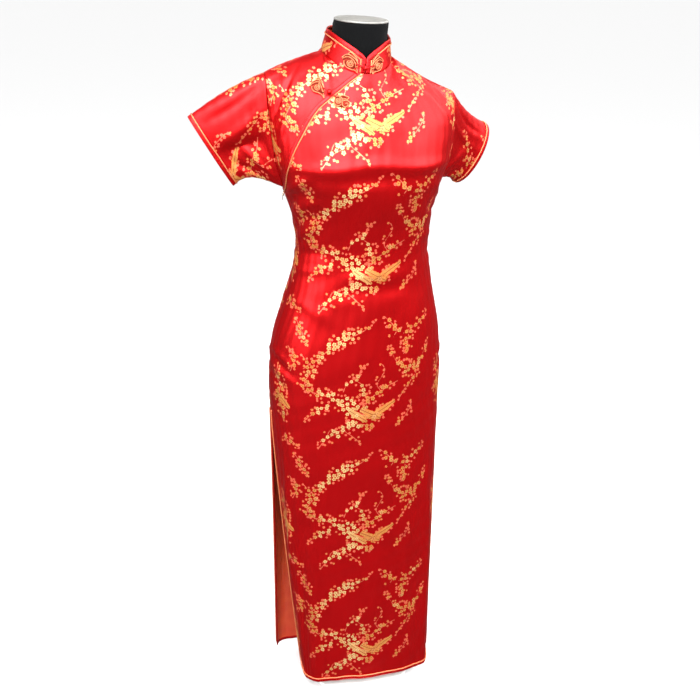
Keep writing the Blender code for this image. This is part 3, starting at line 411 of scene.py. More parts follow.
def neckline(turn):
    """Neckline at an angle from the centre front, towards the wearer's left."""
    deep = np.where(np.cos(turn) > 0, NECK_FRONT, NECK_BACK)
    x = NECK_HALF * np.sin(turn)
    z = NECK_LEVEL - NECK_TILT * np.cos(turn) + NECK_BOW * np.cos(2 * turn) - NECK_ROLL * x
    return np.stack([NECK_X + x, -deep * np.cos(turn), z], axis=-1)


def top_edge(face, s):
    """Neckline in the middle, shoulder seam on each side of it."""
    side = np.sign(s)
    along = np.clip((np.abs(s) - NECK_S) / (1 - NECK_S), 0.0, 1.0)
    turn = side * 0.5 * math.pi * np.clip(np.abs(s) / NECK_S, 0.0, 1.0)
    neck = neckline(turn if face == FRONT else math.pi - turn)
    tip_z = np.where(side < 0, TIP_Z[RIGHT], TIP_Z[LEFT])
    sag = np.where(side < 0, SHOULDER_SAG[RIGHT], SHOULDER_SAG[LEFT])
    x = side * (NECK_HALF + (TIP_X - NECK_HALF) * along) + NECK_X * (1 - along)
    neck_z = NECK_SIDE_Z - side * NECK_ROLL * NECK_HALF
    z = neck_z + (tip_z - neck_z) * along - sag * np.sin(math.pi * along)
    shoulder = np.stack([x, TIP_Y * along, z], axis=-1)
    return np.where((np.abs(s) < NECK_S)[..., None], neck, shoulder)


def surface(face, s, u):
    """Outer face of the cloth."""
    s, u = np.broadcast_arrays(np.asarray(s, float), np.asarray(u, float))
    low = section(face, s, np.minimum(u, CHEST_Z))
    t = np.clip((u - CHEST_Z) / (TOP_U - CHEST_Z), 0.0, 1.0)[..., None]
    chest = section(face, s, np.full_like(s, CHEST_Z))
    below = section(face, s, np.full_like(s, CHEST_Z - 0.01))
    top = top_edge(face, s)
    reach = np.linalg.norm(top - chest, axis=-1, keepdims=True)
    leave = (chest - below) / 0.01
    shoulder_share = ease((np.abs(s) - 0.15) / (NECK_S - 0.15))[..., None]
    at_neck = np.array([0.0, -face * 0.45, 0.89])
    at_shoulder = np.array([0.0, -face * 0.99, 0.08])
    arrive = at_neck + (at_shoulder - at_neck) * shoulder_share
    high = hermite(t, chest, leave * reach, top, arrive * reach)
    return np.where((u > CHEST_Z)[..., None], high, low)


def outward(face, s, u, step_s=0.004, step_u=0.0015):
    """Unit normal of that surface."""
    across = surface(face, np.minimum(s + step_s, 1), u)
    across = across - surface(face, np.maximum(s - step_s, -1), u)
    up = surface(face, s, np.minimum(u + step_u, TOP_U))
    up = up - surface(face, s, np.maximum(u - step_u, HEM_Z))
    return unit(np.cross(up, across) * face)


def lapel_lift(s, u):
    """The front panel's lift over the yoke, which fades away from the lapel's edge."""
    beside = (s - lapel_s(np.maximum(u, ARMPIT_Z))) * 0.19
    below = np.maximum(ARMPIT_Z - u, 0.0)
    return OVERLAP_LIFT * (1 - ease((beside - 0.022) / 0.05)) * (1 - ease(below / 0.06))


def corner_rise(face, s):
    """How far the hem has risen where a slit's corner is rounded."""
    inside = np.clip(1 - (1 - np.abs(s)) * GIRTH / CORNER_ACROSS[face], 0.0, 1.0)
    return CORNER_UP[face] * (1 - np.sqrt(1 - inside ** 2))


def collar_point(turn, share):
    """Outer face of the collar: turn round the neck, share of its height."""
    turn, share = np.broadcast_arrays(np.asarray(turn, float), np.asarray(share, float))
    around = np.stack([np.sin(turn), -np.cos(turn), np.zeros_like(turn)], axis=-1)
    rise = unit(np.array([COLLAR_TIP, 0.0, 1.0]) - around * COLLAR_LEAN)
    angles, right, left = zip(*COLLAR_HEIGHTS)
    wrapped = (turn + math.pi) % (2 * math.pi) - math.pi
    away = np.degrees(np.abs(wrapped))
    height = np.where(wrapped < 0, smooth(away, angles, right), smooth(away, angles, left))
    return neckline(turn) + rise * (SEAM_BACK + height * share)[..., None]


def collar_outward(turn, share, step=0.01):
    round_way = collar_point(turn + step, share) - collar_point(turn - step, share)
    up = collar_point(turn, share + step) - collar_point(turn, share - step)
    return unit(np.cross(round_way, up))


def edge_frame(points, out):
    """For an edge with the cloth on its left side: unit vectors into the cloth."""
    return unit(np.cross(out, unit(np.gradient(points, axis=0))))


# ---- its creases ----

def crease_sum(creases, across, up, scale):
    """Height of all creases of one face at (across, up); scale turns the two into metres."""
    total = np.zeros(np.broadcast(across, up).shape)
    for a0, u0, a1, u1, half_mm, height_mm, bow_mm in creases:
        start = np.array([a0 * scale[0], u0 * scale[1]])
        run = np.array([a1 * scale[0], u1 * scale[1]]) - start
        length = np.hypot(*run)
        run = run / length
        x, y = across * scale[0] - start[0], up * scale[1] - start[1]
        along = (x * run[0] + y * run[1]) / length
        inside = np.clip(along, 0.0, 1.0)
        aside = y * run[0] - x * run[1] - bow_mm * 0.001 * np.sin(math.pi * inside)
        past = (along - inside) * length
        half = half_mm * 0.001 * (0.75 + 0.35 * inside)
        fade = np.sin(math.pi * (0.08 + 0.84 * inside)) ** 0.8
        total = total + height_mm * 0.001 * fade * np.exp(-(aside ** 2 + past ** 2) / half ** 2)
    return total


def crease(face, s, u):
    """All relief of a panel: the listed creases, two small wavers, and seam puckers."""
    height = crease_sum(CREASES[face], s, u, (GIRTH, 1.0))
    from_side = (1 - np.abs(s)) * GIRTH
    from_top = np.maximum(TOP_U - u, 0.0) + 0.0 * from_side
    calm = ease(from_side / 0.012) * ease(from_top / 0.01)
    waver = 0.0006 * np.sin(9.0 * s + 23.0 * u) * np.sin(31.0 * u - 6.0 * s + face)
    ripple = np.sin(26.0 * s + 70.0 * u + 3.0 * np.sin(19.0 * u))
    ripple = 0.0004 * ripple * np.sin(41.0 * s - 60.0 * u + face)
    puckers = 0.00035 * np.exp(-from_side / 0.035)
    puckers = puckers * np.sin(u * 2 * math.pi / 0.021 + 3.0 * np.sin(9.0 * u))
    return (1.65 * height + 1.3 * (waver + ripple) + puckers) * calm


def rolled_edge(distance):
    """The outer face turns in towards a seam."""
    return -0.0006 * np.exp(-(distance / 0.0014) ** 2)


def cloth_point(face, s, u, lift=0.0):
    """Outer face of the dress with its creases: the point and the outward normal."""
    rise = crease(face, s, u) + lift
    rise = rise + rolled_edge((1 - np.abs(s)) * GIRTH) * (u > SLIT_TOP_Z)
    rise = rise + np.where(np.abs(s) > NECK_S, rolled_edge(TOP_U - u), 0.0)
    out = outward(face, s, u)
    return surface(face, s, u) + out * rise[..., None], out


class ClothMap:
    """Cut-out coordinates of the cloth: metres across from the middle and metres up."""

    def __init__(self, face):
        self.s = np.linspace(-1, 1, 81)
        chest = 60
        rows = np.linspace(HEM_Z, CHEST_Z, chest + 1), np.linspace(CHEST_Z, TOP_U, 21)[1:]
        self.u = np.concatenate(rows)
        points = surface(face, self.s[None, :], self.u[:, None])
        across = travel(points.swapaxes(0, 1)).T
        across = across - across[:, 40:41]
        share = np.clip((self.u - CHEST_Z) / (TOP_U - CHEST_Z), 0.0, 1.0)[:, None]
        up = np.repeat(self.u[:, None], len(self.s), axis=1)
        up[chest:] = CHEST_Z + travel(points[chest:])
        self.fields = across * (1 - share) + points[-1:, :, 0] * share, up

    def __call__(self, s, u):
        column = np.interp(s, self.s, np.arange(len(self.s)))
        row = np.interp(u, self.u, np.arange(len(self.u)))
        i = np.minimum(row.astype(int), len(self.u) - 2)
        j = np.minimum(column.astype(int), len(self.s) - 2)
        a, b = row - i, column - j
        result = []
        for field in self.fields:
            low = field[i, j] * (1 - b) + field[i, j + 1] * b
            high = field[i + 1, j] * (1 - b) + field[i + 1, j + 1] * b
            result.append(low * (1 - a) + high * a)
        return np.stack(result, axis=-1)


MAPS = {face: ClothMap(face) for face in (FRONT, BACK)}


# ---- meshes ----

def grid_faces(rows, columns, closed=False):
    span = np.arange(columns if closed else columns - 1)
    i, j = np.meshgrid(np.arange(rows - 1), span, indexing="ij")
    k = (j + 1) % columns
    low, high = i * columns, (i + 1) * columns
    return np.stack([low + j, low + k, high + k, high + j], axis=-1).reshape(-1, 4)


def add_object(name, data):
    obj = bpy.data.objects.new(name, data)
    bpy.context.scene.collection.objects.link(obj)
    return obj


def new_mesh(name, points, faces, uv, materials, smooth=True):
    """uv has one pair for each point, or one for each corner of each face."""
    mesh = bpy.data.meshes.new(name)
    points = np.reshape(points, (-1, 3)).tolist()
    mesh.from_pydata(points, [], [list(map(int, face)) for face in faces])
    if uv is not None:
        uv = np.reshape(uv, (-1, 2))
        if len(uv) == len(points):
            corner = np.empty(len(mesh.loops), dtype=np.int32)
            mesh.loops.foreach_get("vertex_index", corner)
            uv = uv[corner]
        layer = mesh.uv_layers.new(name="Cloth")
        layer.data.foreach_set("uv", uv.astype(np.float32).ravel())
    for finish in materials:
        mesh.materials.append(finish)
    if smooth:
        mesh.shade_smooth()
    mesh.update()
    return add_object(name, mesh)


def place(obj, slot, node):
    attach(obj, BODY)
    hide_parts(node)
    return obj


def add_cloth(name, points, out, uv, slot, node, wall=WALL, closed=False):
    """A panel of cloth: a fine grid of the outer face, made solid inwards."""
    rows, columns = points.shape[:2]
    faces = grid_faces(rows, columns, closed)
    row, col = rows // 2, columns // 2
    here = points[row, col]
    if np.cross(points[row, col + 1] - here, points[row + 1, col] - here).dot(out[row, col]) < 0:
        faces = faces[:, ::-1]
    if closed:
        # the last column's UV would run backwards, so its corners get a column of their own
        wrapped = 2 * uv[0, -1, 0] - uv[0, -2, 0] - uv[0, 0, 0]
        uv = np.concatenate([uv, uv[:, :1] + np.array([wrapped, 0])], axis=1)
        i, j = faces // columns, faces % columns
        wraps = (j.max(axis=1, keepdims=True) - j.min(axis=1, keepdims=True)) > 1
        uv = uv[i, np.where(wraps & (j == 0), columns, j)]
    obj = new_mesh(name, points, faces, uv, [SATIN[slot], LINING])
    shell = obj.modifiers.new("Wall", "SOLIDIFY")
    shell.thickness = wall
    shell.offset = -1.0
    shell.material_offset = 1
    shell.material_offset_rim = 0
    return place(obj, "satin", node)


def new_solid(name, points, faces, uv, finish):
    """A closed mesh whose faces look outwards."""
    obj = new_mesh(name, points, faces, uv, [finish])
    solid = bmesh.new()
    solid.from_mesh(obj.data)
    if solid.calc_volume(signed=True) < 0:
        obj.data.flip_normals()
    solid.free()
    return obj


def sweep(name, edge, into, out, profile, finish, closed=False):
    """A profile of (into, out) pairs carried along an edge, its UV in metres along and round."""
    profile = np.asarray(profile, float)
    sides, count = len(profile), len(edge)
    rings = edge[:, None] + into[:, None] * profile[None, :, :1]
    rings = rings + out[:, None] * profile[None, :, 1:]
    along = travel(edge)
    girth = travel(np.concatenate([profile, profile[:1]]))
    faces, corners = [], []
    for i in range(count if closed else count - 1):
        k = (i + 1) % count
        end = along[i] + np.linalg.norm(edge[k] - edge[i])
        for j in range(sides):
            m = (j + 1) % sides
            faces.append((i * sides + j, k * sides + j, k * sides + m, i * sides + m))
            corners += [(a, girth[b]) for b, a in
                        ((j, along[i]), (j, end), (j + 1, end), (j + 1, along[i]))]
    if not closed:
        last = (count - 1) * sides
        for end, ring in ((0.0, range(sides)), (along[-1], range(last, last + sides)[::-1])):
            faces.append(ring)
            corners += [(end, girth[j % sides]) for j in ring]
    return new_solid(name, rings, faces, corners, finish)


def loft_rings(name, rings, uv, finish):
    """A solid of rings of points, closed at both ends."""
    count, sides = len(rings), len(rings[0])
    ends = [range(sides)[::-1], range((count - 1) * sides, count * sides)]
    faces = list(grid_faces(count, sides, closed=True)) + ends
    return new_solid(name, rings, faces, uv, finish)


def full_circle(count):
    return np.linspace(0, 2 * math.pi, count, endpoint=False)


def round_profile(radius, sides=10, centre=(0.0, 0.0)):
    return [(centre[0] + radius * math.cos(t), centre[1] + radius * math.sin(t))
            for t in full_circle(sides)]


def tube(name, path, radius, finish, sides=8, closed=False):
    """A round cord along a path, with a frame that doesn't twist."""
    if closed:
        tangent = unit(np.roll(path, -1, axis=0) - np.roll(path, 1, axis=0))
    else:
        tangent = unit(np.gradient(path, axis=0))
    helper = [0.0, 0.0, 1.0] if abs(tangent[0, 2]) < 0.9 else [0.0, 1.0, 0.0]
    side = unit(np.cross(tangent[0], helper))
    across = [side]
    for t in tangent[1:]:
        side = unit(side - t * side.dot(t))
        across.append(side)
    across = np.array(across)
    profile = round_profile(radius, sides)
    return sweep(name, path, across, np.cross(tangent, across), profile, finish, closed)


def join(name, objects):
    """One object from several, keeping materials and UVs."""
    bpy.ops.object.select_all(action="DESELECT")
    for obj in objects:
        obj.select_set(True)
    bpy.context.view_layer.objects.active = objects[0]
    bpy.ops.object.join()
    joined = bpy.context.view_layer.objects.active
    joined.name = joined.data.name = name
    return joined


# ---- materials ----

FULL_TURN = 6.28


class Signal:
    """A node's output. Arithmetic with it adds a Math node for each step."""

    def __init__(self, net, socket):
        self.net, self.socket = net, socket

    def then(self, operation, *others, clamp=False):
        return self.net.math(operation, self, *others, clamp=clamp)

    def __rsub__(self, other):
        return self.net.math("SUBTRACT", other, self)

    __add__ = partialmethod(then, "ADD")
    __sub__ = partialmethod(then, "SUBTRACT")
    __mul__ = partialmethod(then, "MULTIPLY")
    __truediv__ = partialmethod(then, "DIVIDE")
    __gt__ = partialmethod(then, "GREATER_THAN")
    __lt__ = partialmethod(then, "LESS_THAN")
    __abs__ = partialmethod(then, "ABSOLUTE")
    mad = partialmethod(then, "MULTIPLY_ADD")
    most = partialmethod(then, "MAXIMUM")
    sine = partialmethod(then, "SINE")


class Net:
    """Short names for building a material's nodes."""

    def __init__(self, tree):
        self.tree = tree

    def node(self, kind, **settings):
        made = self.tree.nodes.new("ShaderNode" + kind)
        for key, value in settings.items():
            setattr(made, key, value)
        return made

    def join(self, source, socket):
        if isinstance(source, Signal):
            self.tree.links.new(source.socket, socket)
        else:
            socket.default_value = (*source, 1.0) if isinstance(source, tuple) else source

    def feed(self, made, *values):
        """Joins values to the node's inputs in order, and gives its outputs."""
        for value, socket in zip(values, made.inputs):
            self.join(value, socket)
        return [Signal(self, socket) for socket in made.outputs]

    def wire(self, made, **inputs):
        """Joins values to the node's inputs by name, and gives its outputs."""
        for key, value in inputs.items():
            self.join(value, made.inputs[key.replace("_", " ")])
        return self.feed(made)

    def math(self, operation, *values, clamp=False):
        made = self.node("Math", operation=operation, use_clamp=clamp)
        return self.feed(made, *values)[0]

    def vector(self, x, y):
        return self.feed(self.node("CombineXYZ"), x, y, 0.0)[0]

    def split(self, vector):
        return self.feed(self.node("SeparateXYZ"), vector)

    def ramp(self, value, low, high):
        made = self.node("MapRange", interpolation_type="SMOOTHSTEP")
        return self.feed(made, value, low, high)[0]

    def mix(self, share, a, b):
        made = self.node("Mix", data_type="RGBA")
        for value, k in ((share, 0), (a, 6), (b, 7)):
            self.join(value, made.inputs[k])
        return Signal(self, made.outputs[2])

    def noise(self, at, scale, detail=1.0, roughness=0.5):
        """Noise over the cloth at a pair of signals, or in space at a vector."""
        flat = isinstance(at, tuple)
        made = self.node("TexNoise", noise_dimensions="2D" if flat else "3D")
        at = self.vector(*at) if flat else at
        return self.wire(made, Vector=at, Scale=scale, Detail=detail, Roughness=roughness)[0]

    def curve(self, value, points):
        """A curve through (at, value) pairs, both from 0 to 1."""
        made = self.node("FloatCurve")
        line = made.mapping.curves[0]
        made.mapping.extend = "HORIZONTAL"
        for _ in points[2:]:
            line.points.new(0.5, 0.5)
        for point, place in zip(line.points, points):
            point.location = place
            point.handle_type = "AUTO_CLAMPED"
        made.mapping.update()
        return self.wire(made, Value=value)[0]

    def cloth(self):
        """Across and up on the cut-out cloth, in metres."""
        return self.split(self.feed(self.node("UVMap", uv_map="Cloth"))[0])[:2]

    def space(self):
        return Signal(self, self.node("TexCoord").outputs["Object"])


class Finish:
    """A material: what is the same all over is given here, the rest comes from wear()."""

    def __init__(self, name, colour, roughness, metallic=0.0, specular=0.5, **sockets):
        self.made = bpy.data.materials.new(name)
        self.made.use_nodes = True
        self.net = Net(self.made.node_tree)
        self.shader = self.made.node_tree.nodes["Principled BSDF"]
        self.net.wire(self.shader, Base_Color=colour, Roughness=roughness, Metallic=metallic,
                      Specular_IOR_Level=specular, **sockets)

    def wear(self, height, distance, strength, colour, **sockets):
        """What changes over the surface: relief, whose height is in metres, colour and so on."""
        relief = self.net.wire(self.net.node("Bump"), Strength=strength, Distance=distance,
                               Height=height)[0]
        self.net.wire(self.shader, Normal=relief, Base_Color=colour, **sockets)
        return self.made


def branch_group():
    """Node group: at (x, v) of the tile, in mm, how far inside a branch's blossom the point
    lies (Field), and how far it is from the nearest branch's middle line (Line)."""
    tree = bpy.data.node_groups.new("Branches", "ShaderNodeTree")
    for name, way in (("x", "INPUT"), ("v", "INPUT"), ("Field", "OUTPUT"), ("Line", "OUTPUT")):
        tree.interface.new_socket(name, in_out=way, socket_type="NodeSocketFloat")
    net = Net(tree)
    x, v = net.feed(tree.nodes.new("NodeGroupInput"))[:2]
    width, height, low = TILE_W * 1000, TILE_H * 1000, TILE_LOW * 1000
    across, up = (x + width / 2) / width, (v - low) / height
    wide, tall = (-width / 2, width), (low, height)
    margin = 0.008
    field = line = None
    for table, at, other, (at_low, at_size), (other_low, other_size) in (
        (UPRIGHTS, up, across, tall, wide),
        (LEVELS, across, up, wide, tall),
    ):
        for rows in table:
            stations = [(a - at_low) / at_size for a, _, _ in rows]
            places = [(at, (b - other_low) / other_size) for at, (_, b, _) in zip(stations, rows)]
            widths = [(at, (w - THIN) / WIDTHS) for at, (_, _, w) in zip(stations, rows)]
            widths = [(stations[0] - margin, 0.0)] + widths + [(stations[-1] + margin, 0.0)]
            middle = net.curve(at, places)
            half = net.curve(at, widths).mad(WIDTHS, THIN)
            gap = abs(other - middle) * other_size
            inside = half - gap
            lane = half.mad(-1.0, -3.5).most(0.0).mad(3.0, gap)
            field = inside if field is None else field.most(inside)
            line = lane if line is None else line.then("MINIMUM", lane)
    net.feed(tree.nodes.new("NodeGroupOutput"), field, line)
    return tree


def blossoms(net, branches, x, v, pitch, radius, low, high, seed):
    """Scattered blossoms whose middle lies where the branches' field is from low to high mm.
    Gives cover (0 or 1), its lightness and a random number for each."""
    cells = net.node("TexVoronoi", voronoi_dimensions="2D")
    _, colour, position, *_ = net.wire(
        cells, Vector=net.vector(x + seed, v), Scale=1.0 / (pitch * 1000), Randomness=0.62)
    centre, chance = net.split(position), net.split(colour)
    centre_x = centre[0] - seed
    field = net.feed(net.node("Group", node_tree=branches), centre_x, centre[1])[0]
    dx, dv = x - centre_x, v - centre[1]
    away = dx.mad(dx, dv * dv).then("SQRT")
    turn = chance[1].mad(FULL_TURN, dv.then("ARCTAN2", dx))
    petal = abs((turn * (PETALS / 2.0)).then("COSINE"))
    size = chance[0].mad(0.34 * radius * 1000, 0.74 * radius * 1000)
    share = away / (size * petal.mad(0.26, 0.78))
    cover = (share < 1.0) * ((field > low) * (field < high))
    # darker eye, darker lines between the petals, and stamens
    eye = net.ramp(share, 0.2, 0.32).most(net.ramp(share, 0.12, 0.06))
    between = net.ramp(petal, 0.12, 0.4).most(net.ramp(share, 0.42, 0.3))
    stamens = net.ramp(abs((turn * (PETALS * 1.5)).sine()), 0.25, 0.75)
    stamens = stamens.most(abs(share.mad(6.0, -2.7)), clamp=True)
    light = eye * between * net.ramp(share, 0.98, 0.84).mad(0.75, 0.25)
    return cover, light * stamens.mad(0.6, 0.4), chance[2]


def leaf_shapes(net, x, v):
    """Cover and lightness of the broad leaves."""
    cover = light = None
    for x0, v0, x1, v1, half in LEAVES:
        length = math.hypot(x1 - x0, v1 - v0)
        ca, sa = (x1 - x0) / length, (v1 - v0) / length
        px, pv = x - x0, v - v0
        along = px.mad(ca / length, pv * (sa / length))
        apart = abs(px.mad(-sa, pv * ca))
        width = (along * (1.0 - along)).most(0.0).then("SQRT") * (2.0 * half)
        barb = abs(apart.mad(1.25, along * (-length * 1.7)).sine())
        inside = apart < width * barb.mad(0.38, 0.66)
        vein = (1.0 - inside).most(net.ramp(barb, 0.14, 0.5) * net.ramp(apart, 0.25, 0.8))
        cover = inside if cover is None else cover.most(inside)
        light = vein if light is None else light * vein
    return cover, light


RED, DEEP_RED = (0.36, 0.0, 0.001), (0.225, 0.0, 0.0005)
SHINE = (1.0, 0.5, 0.5)      # tint of the satin's shine
CREAM, GOLD, ORANGE = (0.54, 0.38, 0.155), (0.44, 0.185, 0.04), (0.4, 0.12, 0.022)
OCHRE = (0.12, 0.01, 0.003)
CORAL, BLUSH = (0.46, 0.022, 0.016), (0.54, 0.11, 0.06)
CORD_GOLD = (0.56, 0.18, 0.07)


def make_brocade(name, shift_x, shift_v, branches, paler=-0.8):
    """Red satin with woven plum blossom; shift moves the pattern, in metres."""
    finish = Finish("Satin brocade " + name, RED, 0.38, specular=0.42, Specular_Tint=SHINE)
    net = finish.net
    x_mm, v_mm = ((at + shift) * 1000.0 for at, shift in zip(net.cloth(), (shift_x, shift_v)))
    half = TILE_W * 500
    x = x_mm.then("WRAP", half, -half)
    v = v_mm.then("WRAP", (TILE_LOW + TILE_H) * 1000, TILE_LOW * 1000)
    gold, over, bud = (
        blossoms(net, branches, x, v, *kind) for kind in (
            (BLOSSOM_PITCH, BLOSSOM_R, -0.9, 60.0, 0.0),
            (BLOSSOM_PITCH * 1.5, BLOSSOM_R, 9.5, 60.0, 800.0),
            (BUD_PITCH, BUD_R, -9.0, 0.5, 400.0),
        )
    )
    bud_cover = bud[0] * (bud[2] > 0.34)
    leaf, leaf_light = leaf_shapes(net, x, v)
    field, line = net.feed(net.node("Group", node_tree=branches), x, v)
    sway = net.noise((x, v), 0.25).mad(3.6, -1.8)
    twig = (abs(line + sway) < 0.8) * (field > -10.0)

    # the weft that shows is cream around the middle of the tile and gold to its right: partly the
    # weft's own colour change, partly a painted highlight where its metallic threads face the light
    patch = net.noise((x_mm, v_mm), 0.024)
    cream_share = patch.mad(1.5, paler) + net.ramp(abs(x + 22.0), 62.0, 22.0)
    speckle = net.ramp(net.noise((x_mm, v_mm), 1.15, 2.0, 0.7), 0.36, 0.56)

    def petals(cover, light, chance):
        share = cream_share.then("ADD", chance.mad(0.7, -0.35), clamp=True)
        lit = net.mix(share, net.mix(chance, GOLD, ORANGE), CREAM)
        return net.mix(light * speckle.mad(0.45, 0.55), OCHRE, lit)

    leaf_share = (cream_share + -0.2).then("MULTIPLY", 0.7, clamp=True)
    leaf_colour = net.mix(leaf_share, GOLD, CREAM)
    leaf_colour = net.mix(leaf_light * speckle.mad(0.5, 0.5), OCHRE, leaf_colour)
    rosy = bud[2].mad(1.6, -0.9, clamp=True)
    bud_colour = net.mix(bud[1], CORAL, net.mix(rosy, BLUSH, GOLD))
    # fine satin threads: long floats up the cloth, broken at random
    threads = net.noise((x_mm * 3.4, v_mm * 0.22), 1.0)
    broad = net.noise((x_mm, v_mm * 0.35), 0.02, 3.0, 0.6)
    ground = net.mix(threads.mad(0.5, broad * 0.45), DEEP_RED, RED)
    colour = net.mix(twig * 0.8, ground, BLUSH)
    for cover, laid in (
        (bud_cover, bud_colour), (gold[0], petals(*gold)), (leaf, leaf_colour),
        (over[0], petals(*over)),
    ):
        colour = net.mix(cover, colour, laid)
    metal = gold[0].most(over[0]).most(leaf)
    raised = metal.most((bud_cover * 0.7).most(twig * 0.5))
    return finish.wear(
        raised.mad(0.9, threads * 0.22), 0.00022, 0.75, colour,
        Metallic=metal.mad(-0.2, 0.65), Roughness=raised.mad(0.16, threads.mad(0.1, 0.34)),
    )


def make_lining():
    finish = Finish("Satin wrong side", (0.36, 0.03, 0.008), 0.5, specular=0.25)
    net = finish.net
    x, v = (at * 1000.0 for at in net.cloth())
    floats = net.noise((x, v * 0.3), 0.9, 2.0, 0.6)
    broad = net.noise((x, v), 0.03, 2.0, 0.6)
    colour = net.mix(floats.mad(0.5, broad * 0.5), (0.3, 0.006, 0.004), (0.44, 0.06, 0.012))
    return finish.wear(floats, 0.0002, 0.6, colour)


def make_binding():
    finish = Finish("Satin binding", RED, 0.35, 0.6, specular=0.42, Specular_Tint=SHINE)
    net = finish.net
    x, v = (at * 1000.0 for at in net.cloth())
    threads = net.noise((x + v, (x - v) * 0.2), 2.6)
    puckers = net.noise((x, v * 0.15), 0.22, 2.0, 0.6)
    colour = net.mix(threads.mad(0.4, puckers * 0.6), DEEP_RED, RED)
    return finish.wear(puckers.mad(2.0, threads * 0.25), 0.0004, 0.7, colour)


def make_frog_satin_painted_shade():
    # dark maroon satin: its darkness is painted shade for the shadow between the frog's folds and
    # under its cords
    finish = Finish("Frog satin painted shade", (0.14, 0.008, 0.002), 0.55, 0.3, 0.15, Specular_Tint=SHINE)
    net = finish.net
    x, v = net.cloth()
    threads = net.noise((x * 2600.0, v * 700.0), 1.0)
    colour = net.mix(threads, (0.045, 0.003, 0.001), (0.19, 0.014, 0.003))
    return finish.wear(threads, 0.0002, 0.6, colour)


def make_gold_cord():
    """Two plies, wound round each other."""
    finish = Finish("Gold cord", CORD_GOLD, 0.42, 0.35, 0.35)
    net = finish.net
    x, v = net.cloth()
    twist = x.mad(FULL_TURN / 0.0016, v * (FULL_TURN / 0.0028)).sine().mad(0.5, 0.5)
    hairs = net.noise((x * 9000.0, v * 2500.0), 1.0)
    colour = net.mix(twist.mad(0.6, hairs * 0.4), (0.24, 0.052, 0.016), CORD_GOLD)
    return finish.wear(twist, 0.00025, 0.8, colour)


def make_jersey():
    finish = Finish("Black jersey", (0.0015, 0.0016, 0.002), 0.9, specular=0.04,
                    Sheen_Weight=0.01, Sheen_Roughness=0.5)
    net = finish.net
    place_at = net.space()
    x, y, z = net.split(place_at)
    around = y.then("ARCTAN2", x)
    loops = z.mad(FULL_TURN / 0.0011, around * 130.0).sine()
    knit = ((around * 260.0).sine() * loops).mad(0.5, 0.5)
    lint = net.noise(place_at, 420.0, 3.0, 0.7)
    colour = net.mix(knit * lint, (0.0004, 0.0005, 0.0006), (0.0032, 0.0034, 0.004))
    return finish.wear(knit, 0.0003, 0.5, colour)


def make_hard(name, colour, roughness, tones, tone_noise, rough, relief, bump, metallic=0.0):
    """A hard surface: two tones, a roughness and a relief that change with noise in space."""
    finish = Finish(name, colour, roughness, metallic)
    net = finish.net
    place_at = net.space()
    marks = net.noise(place_at, *tone_noise)
    grain = net.noise(place_at, *relief) if relief else marks
    worn = grain if metallic else marks
    return finish.wear(grain, *bump, net.mix(marks, *tones), Roughness=worn.mad(*rough))


def make_materials():
    branches = branch_group()
    satin = {
        key: make_brocade(*row, branches, *paler) for key, row, *paler in (
            ("front", ("front", -MOTIF_X, -MOTIF_V)),
            ("back", ("back", -MOTIF_X + 0.11, -MOTIF_V + 0.09)),
            ("sleeve_right", ("right sleeve", 0.02, 0.07)),
            # less cream on the left sleeve: painted shade for the side turned from the light
            ("sleeve_left", ("left sleeve", 0.06, -0.06), -0.95),
            ("collar", ("collar", 0.13, -0.02)),
        )
    }
    cap = make_hard(
        "Neck cap", (0.19, 0.185, 0.17), 0.5, ((0.055, 0.052, 0.046), (0.19, 0.185, 0.17)),
        (60.0, 4.0, 0.65), (0.25, 0.38), None, (0.0004, 0.3),
    )
    paint = make_hard(
        "White paint", (0.78, 0.78, 0.76), 0.36, ((0.7, 0.7, 0.68), (0.82, 0.82, 0.8)),
        (24.0, 4.0, 0.6), (0.16, 0.28), (380.0, 2.0, 0.5), (0.0002, 0.25),
    )
    metal = make_hard(
        "Zip metal", (0.62, 0.56, 0.46), 0.28, ((0.46, 0.4, 0.32), (0.74, 0.7, 0.62)),
        (420.0, 3.0, 0.6), (0.2, 0.2), (2400.0, 2.0, 0.6), (0.00008, 0.4), 1.0,
    )
    return (satin, make_lining(), make_binding(), make_frog_satin_painted_shade(), make_gold_cord(),
            make_jersey(), cap, paint, metal)


SATIN, LINING, BINDING, FROG_SATIN_PAINTED_SHADE, GOLD_CORD, JERSEY, CAP, PAINT, METAL = make_materials()


# ---- panels ----

TRIMS = {}


def add_trim(name, edge, into, out, closed=False, lead=None):
    """Bias binding folded over an edge, and the gold piping sewn beside it, from the lead
    point when one is given."""
    band = sweep("binding_" + name, edge, into, out, BAND, BINDING, closed)
    beside = BAND_W + TRIM_GAP + PIPING_R
    if lead is not None:
        aside = into[0] * beside + out[0] * PIPING_SEAT
        first = edge[0] + aside
        count = max(int(np.linalg.norm(first - lead) / 0.002), 2)
        share = np.linspace(0, 1, count, endpoint=False)[:, None]
        edge = np.concatenate([lead + (first - lead) * share - aside, edge])
        into, out = (np.concatenate([way[:1].repeat(count, axis=0), way]) for way in (into, out))
    profile = round_profile(PIPING_R, PIPING_SIDES, (beside, PIPING_SEAT))
    cord = sweep("piping_" + name, edge, into, out, profile, GOLD_CORD, closed)
    place(band, "binding", name + "_binding")
    place(cord, "gold_cord", name + "_piping")
    TRIMS[name] = [band, cord]


def trim_edge(name, edge, normal, step, way=1):
    """The same on an open edge, whose points are kept where they are a step apart."""
    keep = np.concatenate([[True], np.linalg.norm(np.diff(edge, axis=0), axis=1) > step])
    edge, normal = edge[keep][::way], unit(normal[keep])[::way]
    add_trim(name, edge, edge_frame(edge, normal), normal)


def spaced(low, high, count, fine_high=True):
    """Stations that bunch at the ends, where seams turn in."""
    bunch = np.array([0.0, 0.001, 0.0022, 0.004]) / GIRTH
    clear = 0.0045 / GIRTH
    inner = [s for s in np.linspace(low, high, count)[1:-1] if s - low > clear and high - s > clear]
    highs = [high - e for e in bunch] if fine_high else [high]
    return np.array(sorted([low + e for e in bunch] + inner + highs))


